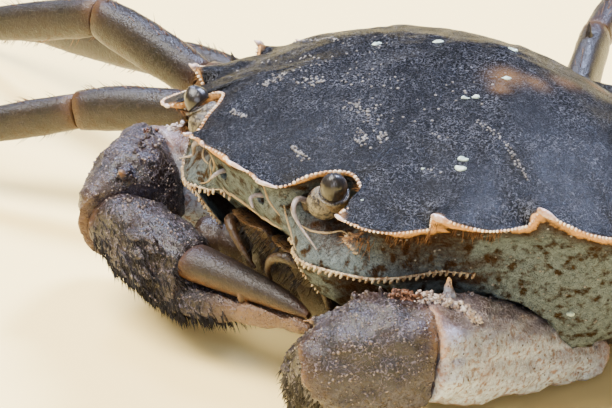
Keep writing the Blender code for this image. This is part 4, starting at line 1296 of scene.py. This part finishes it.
@dataclass
class Segment:
    """A limb segment or plate that keeps its node's shape.

    The cream and rust sizes are millimetres from the segment's ends; pale is how far up its under side
    the pale colour climbs, as the height of the surface's normal.
    """

    node: str
    look: Finish
    slot: Slot
    levels: int = 2
    cream_mm: float = 0.7
    rust_mm: float = 2.2
    pale_from: float = 0.10
    pale_to: float = -0.45
    tip: bool = False
    rough_mm: float = 0.0
    ends: Sequence[Vector] | None = None
    # The way to its spine, whose tip is cream
    spine: Vector | None = None
    # Share of the length where a fixed finger's cream starts, past 1 where there is none
    finger_from: float = 2.0
    # Swellings: share of the length, degrees from the top, reach and height in body units, and their zone
    swells: Sequence[tuple] = ()

    # Width of the surface's unevenness in millimetres, and reach of a spine's cream in body units
    ROUGH_WIDTH = 2.6
    SPINE_REACH = 0.016
    # Most of the cream, pale and rust on a swelling, of cream and rust at the ends, and of brown below
    SWELL_SHARES = (1.0, 1.0, 0.4)
    END_CREAM, END_RUST, BROWN_BELOW = 0.35, 0.45, 0.8

    def swell(self, piece: Object) -> list[tuple[np.ndarray, float, int]]:
        """Raise the swellings, and return their places, reaches and zones."""
        form = LimbForm(piece, self.ends)
        spots = []
        for share, degrees, reach, height, zone in self.swells:
            spot = np.array(form.ring(share, degrees)[0])
            points = points_of(piece)
            off = np.linalg.norm(points - spot, axis=1)
            points += normals_of(piece) * (height * np.exp(-(off / reach) ** 2))[:, None]
            piece.data.vertices.foreach_set("co", in_frame(points).ravel())
            piece.data.update()
            spots.append((spot, reach, zone))
        return spots

    def build(self) -> LimbForm:
        """Make the segment and return its form."""
        piece = smooth_copy(self.node, f"{self.node}_shell", self.levels)
        spots = self.swell(piece)
        if self.rough_mm:
            roughen(piece, self.rough_mm, self.ROUGH_WIDTH)
        form = LimbForm(piece, self.ends)
        if isinstance(self.look, ShellFinish):
            zones = self.zones(form, normals_of(piece))
            for spot, reach, zone in spots:
                off = np.linalg.norm(form.skin.points - spot, axis=1) / reach
                zones[:, zone] = np.maximum(zones[:, zone], np.clip(1.5 - off, 0, 1) * self.SWELL_SHARES[zone])
                if zone == 1:
                    zones[:, 2] *= np.clip(off, 0, 1)
            paint(piece, zones)
        finish(piece, self.look, self.slot, self.node)
        return form

    def zones(self, form: LimbForm, normals: np.ndarray) -> np.ndarray:
        """Cream joints, pale under side and rusty edges of each point."""
        points, rise = form.skin.points, normals[:, 2]
        along = (points - np.array(form.middle)) @ np.array(form.axis)
        share = (along - form.low) / (form.high - form.low)
        from_start = (along - form.low) * BODY_UNIT / MILLIMETRE
        from_end = (form.high - along) * BODY_UNIT / MILLIMETRE
        ends = from_start if self.tip else np.minimum(from_start, from_end)
        # Cream at the ends and on the fixed finger; rust at the ends and right below
        cream = [np.clip(1.15 - ends / self.cream_mm, 0, 1) * self.END_CREAM,
                 np.clip((share - self.finger_from) * 6, 0, 1) * self.END_CREAM]
        rust = [np.clip(1.2 - ends / self.rust_mm, 0, 1) * self.END_RUST,
                np.clip((-0.72 - rise) / 0.2, 0, 1) * self.BROWN_BELOW]
        if self.spine is not None:
            point = points[np.argmax(points @ np.array(self.spine))]
            cream.append(np.clip(1.3 - np.linalg.norm(points - point, axis=1) / self.SPINE_REACH, 0, 1))
        if self.tip:
            rust.append(np.clip(share * 3.2 - 2.0, 0, 1))
        pale = np.clip((self.pale_from - rise) / (self.pale_from - self.pale_to), 0, 1)
        return np.stack((np.max(cream, axis=0), pale, np.max(rust, axis=0)), axis=1)


# How many of a segment's points closest to the next one mark its mouth
MOUTH_POINTS = 60
# A joint's skin across and along the limb, in shares of the mouth's radius, and the least along it
SKIN_ACROSS, SKIN_ALONG, SKIN_LEAST = 0.93, 0.45, 0.012


def joint_skins(name: str, forms: Sequence[LimbForm]) -> None:
    """Soft skin that closes the joints along a limb.

    Args:
        name: The piece's name.
        forms: The limb's segments in order from the body.
    """
    skins = Beads(name, 3)
    for near, far in zip(forms, forms[1:]):
        tree = search_tree(far.skin.points)
        close = sorted((tree.find(p)[2], tuple(p)) for p in near.skin.points)[:MOUTH_POINTS]
        ring = np.array([p for _, p in close])
        middle = Vector(ring.mean(axis=0))
        way = (far.middle - near.middle).normalized()
        off = ring - np.array(middle)
        off -= np.outer(off @ np.array(way), np.array(way))
        radius = float(np.linalg.norm(off, axis=1).mean())
        across = radius * SKIN_ACROSS
        skins.add(middle, way, (across, across, max(SKIN_LEAST, radius * SKIN_ALONG)))
    skins.build(MEMBRANE, Slot.UNDERSIDE)


@dataclass
class Face:
    """Eyes, feelers, mouth and the ridges round them."""

    seed: int = 11
    eye_middle: Vector = field(default_factory=lambda: Vector((0.2315, 0.0265, 0.0225)))
    eye_way: Vector = field(default_factory=lambda: Vector((0.42, -0.21, 0.88)))
    eye_radius: float = 0.0275
    # Ridges in front: pixels of the photograph that they pass, and their radii in body units
    ridges: tuple = (
        ("orbit_floor_ridge", ((300, 225), (312, 231), (327, 233), (341, 231), (350, 236)),
         (0.001, 0.0024, 0.001)),
        ("mouth_top_ridge", ((282, 229), (275, 225), (264, 218), (252, 211), (241, 205)),
         (0.001, 0.0034, 0.0034, 0.001)),
        ("feeler_ridge", ((262, 184), (267, 196), (274, 208), (281, 217)), (0.001, 0.0026, 0.0022, 0.001)),
        ("mouth_frame_ridge", ((284, 205), (288, 222), (293, 240), (297, 252)), (0.001, 0.0024, 0.001)),
    )
    # Feelers: knots and radii in body units
    feelers: tuple = (
        ("antenna", ((0.150, 0.030, -0.032), (0.162, 0.000, -0.016), (0.170, -0.014, -0.030),
                     (0.182, -0.010, -0.052), (0.212, -0.008, -0.068), (0.236, -0.008, -0.078)),
         (0.0056, 0.0052, 0.0046, 0.0028, 0.0020, 0.0014)),
        ("antennule", ((0.070, 0.004, -0.045), (0.062, -0.020, -0.040), (0.062, -0.034, -0.044),
                       (0.074, -0.036, -0.056)), (0.0050, 0.0042, 0.0034, 0.0020)),
    )
    # Brown forms round the mouth plates: middle, half sizes
    lobes: tuple = (((0.085, 0.108, -0.225), (0.080, 0.042, 0.085)),
                    ((0.178, 0.120, -0.225), (0.036, 0.040, 0.075)),
                    ((0.110, 0.175, -0.300), (0.120, 0.070, 0.040)),
                    ((0.238, 0.125, -0.268), (0.048, 0.050, 0.050)),
                    ((0.290, 0.105, -0.275), (0.055, 0.055, 0.050)))
    # Dark skin that closes the feelers' sockets, and the bulb of the eyestalk: middle, half sizes
    sockets: tuple = (((0.072, 0.004, -0.044), (0.016, 0.010, 0.014)),
                      ((0.150, 0.026, -0.034), (0.016, 0.010, 0.016)))
    bulb: tuple = ((0.204, 0.026, -0.013), (0.030, 0.028, 0.030))
    # The cornea's size against its solid's, drawn in to its crown
    eye_shrink: float = 0.88
    # The skin round its foot: its reach and how far it lies below the middle, in radii of the eye
    rim_share: float = 0.90
    rim_drop: float = 0.50
    rim_radius: float = 0.0026
    # Palps of the mouth plates: knots and radii in body units
    palps: tuple = (
        ("palp", ((0.112, 0.046, -0.172), (0.100, 0.016, -0.150), (0.070, 0.004, -0.158),
                  (0.040, 0.010, -0.190), (0.026, 0.026, -0.222)), (0.011, 0.010, 0.007, 0.003)),
        ("side_palp", ((0.140, 0.086, -0.290), (0.146, 0.070, -0.230), (0.142, 0.050, -0.180),
                       (0.128, 0.034, -0.152)), (0.008, 0.009, 0.007, 0.003)),
    )
    # Steps between knots, and how many hairs are tried on each mouth plate and its lobes
    steps: int = 6
    beard_hairs: int = 700
    beard_width: float = 0.0014
    # Depth and width of the lobes' unevenness, in millimetres
    lobe_uneven: tuple = (0.5, 5.0)

    def build(self, skin: Skin, camera: "PhotoCamera") -> None:
        """Make the face.

        Args:
            skin: The back shell's surface.
            camera: The photograph's camera.
        """
        draw = random.Random(self.seed)
        for side in Side:
            label = side.label
            Segment(f"eyestalk_{label}", STALK, Slot.UNDERSIDE, 3, cream_mm=0.01, rust_mm=0.9,
                    rough_mm=0.10).build()
            self.eye(side)
            self.soft_parts(side)
            for name, line, radii in self.feelers:
                finish(tube(f"{name}_{label}_feeler", curve(line, self.steps, side), radii), FEELER_HORN,
                       Slot.FEELER, f"{name}_{label}")
            plate = Segment(f"maxilliped_{label}", MOUTH, Slot.UNDERSIDE, 3, rough_mm=0.15).build()
            for name, line, radii in self.palps:
                palp = tube(f"{name}_{label}", curve(line, self.steps, side)[:-1], radii)
                paint(palp)
                finish(palp, MOUTH, Slot.UNDERSIDE)
            for name, pixels, radii in self.ridges:
                knots = [skin.hit(*camera.ray(pixel))[0] for pixel in pixels]
                line = [skin.near(mirrored(p, side))[0] for p in catmull(knots, self.steps)]
                ridge = tube(f"{name}_{label}", line, radii)
                paint(ridge, (0.25, 0.0, 0.5))
                finish(ridge, PALE, Slot.SHELL)
            lobes = self.blobs("mouth_lobes", self.lobes, side, 4).build(MOUTH, Slot.UNDERSIDE)
            paint(lobes)
            roughen(lobes, *self.lobe_uneven)
            self.beard("mouth_hair", plate, side, draw)
            self.beard("lobe_hair", LimbForm(lobes), side, draw)

    def blobs(self, name: str, forms: tuple, side: Side, fineness: int) -> Beads:
        """Upright rounded forms, each by its middle and half sizes."""
        made = Beads(f"{name}_{side.label}", fineness)
        for middle, sizes in forms:
            made.add(mirrored(Vector(middle), side), UPWARD, sizes, SIDEWAYS)
        return made

    def soft_parts(self, side: Side) -> None:
        """The eyestalk's netted bulb, and the skin in the feelers' sockets."""
        bulb = Beads(f"eyestalk_bulb_{side.label}", 4)
        bulb.add(mirrored(Vector(self.bulb[0]), side), mirrored(self.eye_way, side), self.bulb[1])
        paint(bulb.build(STALK, Slot.UNDERSIDE))
        paint(self.blobs("feeler_sockets", self.sockets, side, 3).build(MOUTH, Slot.UNDERSIDE))

    def eye(self, side: Side) -> None:
        """The cornea, drawn in to its crown, and the pale skin round its foot."""
        Segment(f"eye_{side.label}", GLASSY_EYE, Slot.CORNEA, 3).build()
        way = mirrored(self.eye_way, side).normalized()
        middle = mirrored(self.eye_middle, side)
        crown = place(*(middle + way * self.eye_radius))
        shrink = Matrix.Translation(crown) @ Matrix.Scale(self.eye_shrink, 4) @ Matrix.Translation(-crown)
        bpy.data.objects[f"eye_{side.label}_shell"].data.transform(shrink)
        ring = added(bpy.ops.mesh.primitive_torus_add, f"eye_rim_{side.label}",
                     major_radius=self.eye_radius * self.rim_share * BODY_UNIT,
                     minor_radius=self.rim_radius * BODY_UNIT, major_segments=40, minor_segments=10)
        turn = UPWARD.rotation_difference(way).to_matrix().to_4x4()
        ring.data.transform(Matrix.Translation(place(*(middle - way * self.eye_radius * self.rim_drop))) @ turn)
        paint(ring)
        finish(ring, STALK, Slot.UNDERSIDE)

    def beard(self, name: str, plate: LimbForm, side: Side, draw: random.Random) -> None:
        """Brown hair at the edges of the mouth plates or lobes."""
        hairs = Hairs(f"{name}_{side.label}", plate.unwrap)

        def at_edges(spot: Vector, normal: Vector) -> float:
            """More hair at the plates' inner edge and top."""
            return 0.9 if abs(spot.x) < 0.03 or spot.z > -0.175 else 0.25 if normal.y < 0 else 0.0

        for spot, normal in plate.skin.scatter(self.beard_hairs, draw, at_edges):
            aim = normal + Vector((draw.gauss(0, 0.3), -0.6, draw.uniform(-0.8, 0.1)))
            hairs.add(spot, aim, draw.uniform(0.012, 0.030), self.beard_width, Vector((0, 0, -0.3)))
        hairs.build(FUR, Slot.UNDERSIDE)


@dataclass
class Claw:
    """A claw leg: granular segments, rows of tubercles, the crumbly elbow crest and the mitten of fur."""

    side: Side
    seed: int = 23
    # How many hairs are tried on the palm, and the shares of its length that they start and end at
    hairs: int = 6500
    furry_from: float = 0.02
    furry_to: float = 0.72
    hair_width: float = 0.0024
    # Joint centres from the body out
    joints: tuple = (
        (Side.LEFT, ((0.190, 0.345, -0.330), (0.330, 0.440, -0.333), (0.428, 0.078, -0.205),
                     (0.349, -0.039, -0.240), (0.200, 0.015, -0.333), (0.005, 0.150, -0.362))),
        (Side.RIGHT, ((-0.190, 0.345, -0.330), (-0.285, 0.375, -0.330), (-0.482, 0.070, -0.205),
                      (-0.377, -0.057, -0.240), (-0.142, -0.034, -0.270), (0.128, 0.042, -0.262))),
    )
    # Segments: finish, subdivisions, where the pale under side starts, and the finger's cream
    parts: tuple = (("merus", ARM, 3, 0.75, 2.0), ("carpus", CLAW, 3, 0.10, 2.0), ("palm", CLAW, 2, 0.10, 0.60))
    rough_mm: float = 0.40
    # Granules strewn on each segment, and their largest radius in body units
    grains: tuple = (("merus", 1100, 0.0024), ("carpus", 2000, 0.0024), ("palm", 1400, 0.0026))
    # Rows of tubercles: segment, degrees from the top toward the inner side, first and last share, radius
    rows: tuple = (("merus", 8, 0.10, 0.82, 0.0034), ("merus", 26, 0.20, 0.80, 0.0030),
                   ("carpus", 20, 0.20, 0.90, 0.0032), ("carpus", -50, 0.45, 0.85, 0.0032),
                   ("carpus", -80, 0.45, 0.85, 0.0030), ("palm", -10, 0.10, 0.50, 0.0032))
    # Ways to the spines of the segments
    spines: tuple = (("merus", (0.0, 0.0, 1.0)), ("carpus", (-0.45, -0.50, 0.70)))
    # The elbow's crest: segment, share and degrees of its knots, crumbs between them, and their finish
    crest: tuple = ((("carpus", 0.28, 2), ("carpus", 0.10, 2), 150, ORANGE_CRUST),
                    (("carpus", 0.10, 2), ("merus", 0.93, 4), 240, CRUST),
                    (("merus", 0.95, 0), ("merus", 0.86, -12), 170, CRUST),
                    (("merus", 0.86, -12), ("merus", 0.80, -38), 230, CRUST))
    crest_rise: float = 0.22
    crumb_radii: tuple = (0.0014, 0.0042)
    # Depth and width of the crumbs' unevenness, in millimetres
    crumb_uneven: tuple = (0.22, 0.7)
    # Share of the tubercles that are worn away, and their spacing in radii
    worn: float = 0.25
    spacing: float = 3.0
    # Swellings of the elbow and borders: share, degrees, reach, height, and zone, 1 pale and 2 rust
    swells: tuple = (
        ("merus", ((0.905, -118, 0.032, 0.012, 1), (0.73, -108, 0.018, 0.005, 2), (0.925, -4, 0.012, 0.006, 2),
                   (0.95, -62, 0.018, 0.007, 1), (0.86, 20, 0.020, 0.006, 2))),
        ("carpus", ((0.14, -40, 0.014, 0.005, 1), (0.86, -20, 0.012, 0.004, 2), (0.88, -45, 0.012, 0.005, 2),
                    (0.88, -70, 0.012, 0.005, 2), (0.86, -95, 0.012, 0.004, 2), (0.45, 10, 0.022, 0.006, 2))),
    )

    def build(self) -> None:
        """Make the claw leg."""
        draw = random.Random(self.seed + self.side.value)
        stem = f"claw_{self.side.label}"
        centres = vectors(dict(self.joints)[self.side])
        pairs = list(zip(centres, centres[1:]))
        spines = {part: mirrored(Vector(way), self.side) for part, way in self.spines}
        forms = {"coxa": Segment(f"{stem}_coxa", LIMB, Slot.LIMB, ends=pairs[0]).build()}
        for (part, look, levels, pale, finger), ends in zip(self.parts, pairs[1:]):
            swells = [(share, self.turned(degrees), *rest)
                      for share, degrees, *rest in dict(self.swells).get(part, ())]
            forms[part] = Segment(f"{stem}_{part}", look, Slot.LIMB, levels, pale_from=pale, ends=ends,
                                  rough_mm=self.rough_mm, spine=spines.get(part), finger_from=finger,
                                  swells=swells).build()
        forms["dactylus"] = Segment(f"{stem}_dactylus", FINGER, Slot.CLAW_TIP, 3, ends=pairs[4]).build()
        joint_skins(f"{stem}_joints", list(forms.values()))
        self.granules(forms, draw)
        self.elbow(forms, draw)
        self.mitten(forms["palm"], draw)

    def turned(self, degrees: float) -> float:
        """Degrees from the top toward the body's middle, as the forms measure them."""
        return degrees * self.side.value

    def granules(self, forms: dict[str, LimbForm], draw: random.Random) -> None:
        """Granules over the upper sides, and rows of tubercles along the edges."""
        fine = Beads(f"claw_{self.side.label}_granules", 1)

        def on_top(_: Vector, normal: Vector) -> float:
            """Share of granules at a place, by how far it faces up."""
            return min(1.0, max(0.0, 0.6 + normal.z))

        for part, count, most in self.grains:
            for spot, normal in forms[part].skin.scatter(count, draw, on_top):
                r = most * draw.uniform(0.35, 1.0)
                fine.add(spot, normal, (r, r * draw.uniform(0.7, 1.0), r * 0.8))
        fine.build(CLAW_GRAIN, Slot.LIMB)
        rows = Beads(f"claw_{self.side.label}_tubercles", 2)
        for part, degrees, first, last, radius in self.rows:
            length = (forms[part].high - forms[part].low) * (last - first)
            count = max(2, round(length / (radius * self.spacing)))
            for i in range(count):
                if draw.random() < self.worn:
                    continue
                share = first + (last - first) * (i + draw.uniform(-0.25, 0.25)) / count
                spot, normal = forms[part].ring(share, self.turned(degrees + draw.gauss(0, 1.5)))
                r = radius * draw.uniform(0.5, 1.15)
                rows.add(spot, normal, (r, r, r * 1.1))
        rows.build(CLAW_BEAD, Slot.LIMB)

    def elbow(self, forms: dict[str, LimbForm], draw: random.Random) -> None:
        """Crumbly lime crest over the elbow."""
        crumbs = {look: Beads(f"claw_{self.side.label}_{look.name}", 2) for look in (CRUST, ORANGE_CRUST)}
        for first, last, count, look in self.crest:
            (a, up), (b, rise) = (forms[part].ring(share, self.turned(degrees))
                                  for part, share, degrees in (first, last))
            for _ in range(count):
                share = draw.random()
                spot = a.lerp(b, share) + jitter(draw, 0.0045)
                normal = (up.lerp(rise, share) + UPWARD / 2).normalized()
                r = draw.uniform(*self.crumb_radii)
                height = r * 0.4 + (a - b).length * self.crest_rise * math.sin(math.pi * share)
                crumbs[look].add(spot + normal * (height * draw.uniform(0.2, 1.0)), normal,
                                 (r, r * draw.uniform(0.6, 1.0), r * draw.uniform(0.6, 1.1)), jitter(draw, 1.0))
        for look, beads in crumbs.items():
            roughen(beads.build(look, Slot.LIMB), *self.crumb_uneven)

    def mitten(self, palm: LimbForm, draw: random.Random) -> None:
        """Matted fur round the palm, longest below and inside."""
        coat = Hairs(f"claw_{self.side.label}_mitten", palm.unwrap)

        def furry(spot: Vector, normal: Vector) -> float:
            """Density of the fur at a place of the palm."""
            share = palm.share(spot)
            if share < self.furry_from or share > self.furry_to:
                return 0.0
            fade = min(1.0, (share - self.furry_from) * 12, (self.furry_to - share) * 10)
            return min(1.0, max(0.30, 0.45 - 1.3 * normal.z)) * fade

        for spot, normal in palm.skin.scatter(self.hairs, draw, furry):
            aim = normal * 0.34 + palm.axis * 0.9 + Vector((0, 0, -0.3)) + jitter(draw, 0.20)
            length = draw.uniform(0.014, 0.028) * (1.0 if normal.z < 0.1 else 0.35)
            coat.add(spot, aim, length, self.hair_width, Vector((0, 0, -0.25)))
        coat.build(FUR, Slot.LIMB)


@dataclass
class Leg:
    """A walking leg with its joints and the bristles along its edges."""

    side: Side
    number: int
    seed: int = 51
    rough_mm: float = 0.10
    bristle_width: float = 0.0016
    # Bristles of each segment: count, first and last share, length, and degrees from the top
    edges: tuple = (("merus", 46, 0.10, 0.97, 0.022, (0, 180)),
                    ("carpus", 26, 0.08, 0.95, 0.022, (0,)),
                    ("propodus", 90, 0.05, 0.97, 0.026, (0, 180, 90)),
                    ("dactylus", 90, 0.05, 0.86, 0.020, (0, 180, 90, 270)))

    def build(self) -> None:
        """Make the leg."""
        draw = random.Random(self.seed + 10 * self.number + self.side.value)
        stem = f"leg_{self.side.label}_{self.number}"
        forms = {part: Segment(f"{stem}_{part}", LIMB, Slot.LIMB, tip=part == "dactylus",
                               rough_mm=self.rough_mm).build() for part, *_ in self.edges}
        joint_skins(f"{stem}_joints", list(forms.values()))
        hairs = Hairs(f"{stem}_bristles", forms["propodus"].unwrap)
        for part, count, first, last, length, turns in self.edges:
            form = forms[part]
            for _ in range(count):
                share = draw.uniform(first, last)
                spot, normal = form.ring(share, draw.choice(turns) + draw.gauss(0, 9))
                aim = normal * 0.8 + form.axis * 0.9 + jitter(draw, 0.15)
                hairs.add(spot, aim, length * draw.uniform(0.5, 1.1), self.bristle_width, form.axis * 0.2)
        hairs.build(BRISTLE, Slot.LIMB)


@dataclass
class UnderBody:
    """Breast plates and the tail folded under them."""

    seed: int = 77
    # How many hairs are tried on the tail plate, whose sides have them
    hairs: int = 1500

    def build(self) -> None:
        """Make the under side."""
        draw = random.Random(self.seed)
        for node in ("thorax", "abdomen_base", "abdomen_flap"):
            form = Segment(node, PALE, Slot.UNDERSIDE, cream_mm=0.01, rust_mm=1.5, pale_from=0.9).build()
        # The last form, the tail plate, is fringed
        fringe = Hairs("tail_fringe", form.unwrap)
        for spot, normal in form.skin.scatter(self.hairs, draw, lambda _, n: 0.9 if abs(n.x) > 0.6 else 0.0):
            aim = normal + jitter(draw, 0.2, 0.2) + Vector((0, 0, -0.1))
            fringe.add(spot, aim, draw.uniform(0.010, 0.018), 0.0014)
        fringe.build(BRISTLE, Slot.UNDERSIDE)


@dataclass(frozen=True)
class PhotoCamera:
    """The photograph's viewpoint, from the fit of the crab's paired teeth and eyes.

    Angles are in degrees, distances in body units and shifts in pixels.
    """

    azimuth: float = 58.506
    elevation: float = 21.385
    roll: float = 0.2615
    distance: float = 6.12731
    pixels_per_unit: float = 580.448
    middle: tuple[float, float, float] = (0.0, 0.25, 0.0)
    shift_right: float = 70.142
    shift_down: float = -72.840
    sensor_mm: float = 36.0
    # Nearest and farthest that it sees, in metres
    near: float = 0.01
    far: float = 20.0

    def axes(self) -> tuple[Vector, Vector, Vector]:
        """The ways to the right, up and back to the camera, as the fit has them."""
        a, e, r = (math.radians(x) for x in (self.azimuth, self.elevation, self.roll))
        back = Vector((math.sin(a) * math.cos(e), -math.cos(a) * math.cos(e), math.sin(e)))
        level = Vector((math.cos(a), math.sin(a), 0.0))
        upright = back.cross(level)
        return (level * math.cos(r) + upright * math.sin(r), upright * math.cos(r) - level * math.sin(r), back)

    def ray(self, pixel: tuple[float, float]) -> tuple[Vector, Vector]:
        """The sight line through a pixel of the photograph, in body units."""
        right, up, back = self.axes()
        scale = self.pixels_per_unit * self.distance
        way = (right * (pixel[0] - PHOTO_WIDTH / 2 - self.shift_right) / scale
               - up * (pixel[1] - PHOTO_HEIGHT / 2 - self.shift_down) / scale - back)
        return Vector(self.middle) + back * self.distance, way

    def build(self) -> None:
        """Make the camera and set it as the scene's."""
        right, up, back = self.axes()
        middle = Vector(self.middle)
        eye = middle + back * self.distance
        aim = middle - (right * self.shift_right - up * self.shift_down) / self.pixels_per_unit
        view = (eye - aim).normalized()
        right = up.cross(view).normalized()
        made = bpy.data.cameras.new("photo_view")
        made.sensor_width = self.sensor_mm
        made.lens = self.pixels_per_unit * self.distance * self.sensor_mm / PHOTO_WIDTH
        made.clip_start, made.clip_end = self.near, self.far
        camera = linked("photo_view", made)
        turned = Matrix((right, view.cross(right), view)).transposed().to_4x4()
        camera.matrix_world = Matrix.Translation(place(*eye)) @ turned
        bpy.context.scene.camera = camera


@dataclass(frozen=True)
class Softbox:
    """One soft studio light, aimed at the crab; its place and size are in metres."""

    name: str
    spot: tuple[float, float, float]
    size: float
    watts: float
    tint: str

    def build(self) -> None:
        """Hang the light."""
        made = bpy.data.lights.new(self.name, "AREA")
        made.size = self.size
        made.energy = self.watts
        made.color = linear(self.tint)[:3]
        light = linked(self.name, made)
        light.location = self.spot
        light.rotation_euler = (-Vector(self.spot)).to_track_quat("-Z", "Y").to_euler()


SOFTBOXES = (
    Softbox("window_left", (-0.50, 0.03, 0.52), 0.16, 5.0, "#c4d4ff"),
    Softbox("window_back", (-0.08, 0.41, 0.60), 0.16, 21.0, "#c4d4ff"),
    Softbox("key", (-0.15, -0.45, 0.90), 0.70, 48.0, "#fff8ee"),
    Softbox("fill", (0.80, -0.52, 0.36), 0.50, 7.0, "#f2f2ff"),
)


@dataclass(frozen=True)
class Studio:
    """The plain pale table and the light on it."""

    half_width: float = 3.0
    table: str = "#ffe294"
    air: str = "#fff8ee"
    air_strength: float = 0.18

    def build(self) -> None:
        """Lay the table and light the scene."""
        floor = added(bpy.ops.mesh.primitive_plane_add, "table_top", size=2 * self.half_width)
        look = PlainFinish("pale_table", self.table, self.table, 20.0, 0.6, 0.0)
        floor.data.materials.append(look.material())
        world = bpy.data.worlds.new("studio_air")
        world.use_nodes = True
        air = world.node_tree.nodes["Background"]
        air.inputs["Color"].default_value = linear(self.air)
        air.inputs["Strength"].default_value = self.air_strength
        bpy.context.scene.world = world
        for softbox in SOFTBOXES:
            softbox.build()


def main() -> None:
    """Build the crab from its back shell out to its feelers, then the studio."""
    camera = PhotoCamera()
    camera.build()
    skin = BackShell().build(camera)
    Face().build(skin, camera)
    for side in Side:
        Claw(side).build()
        for number in range(1, 5):
            Leg(side, number).build()
    UnderBody().build()
    Studio().build()


if __name__ == "__main__":
    main()
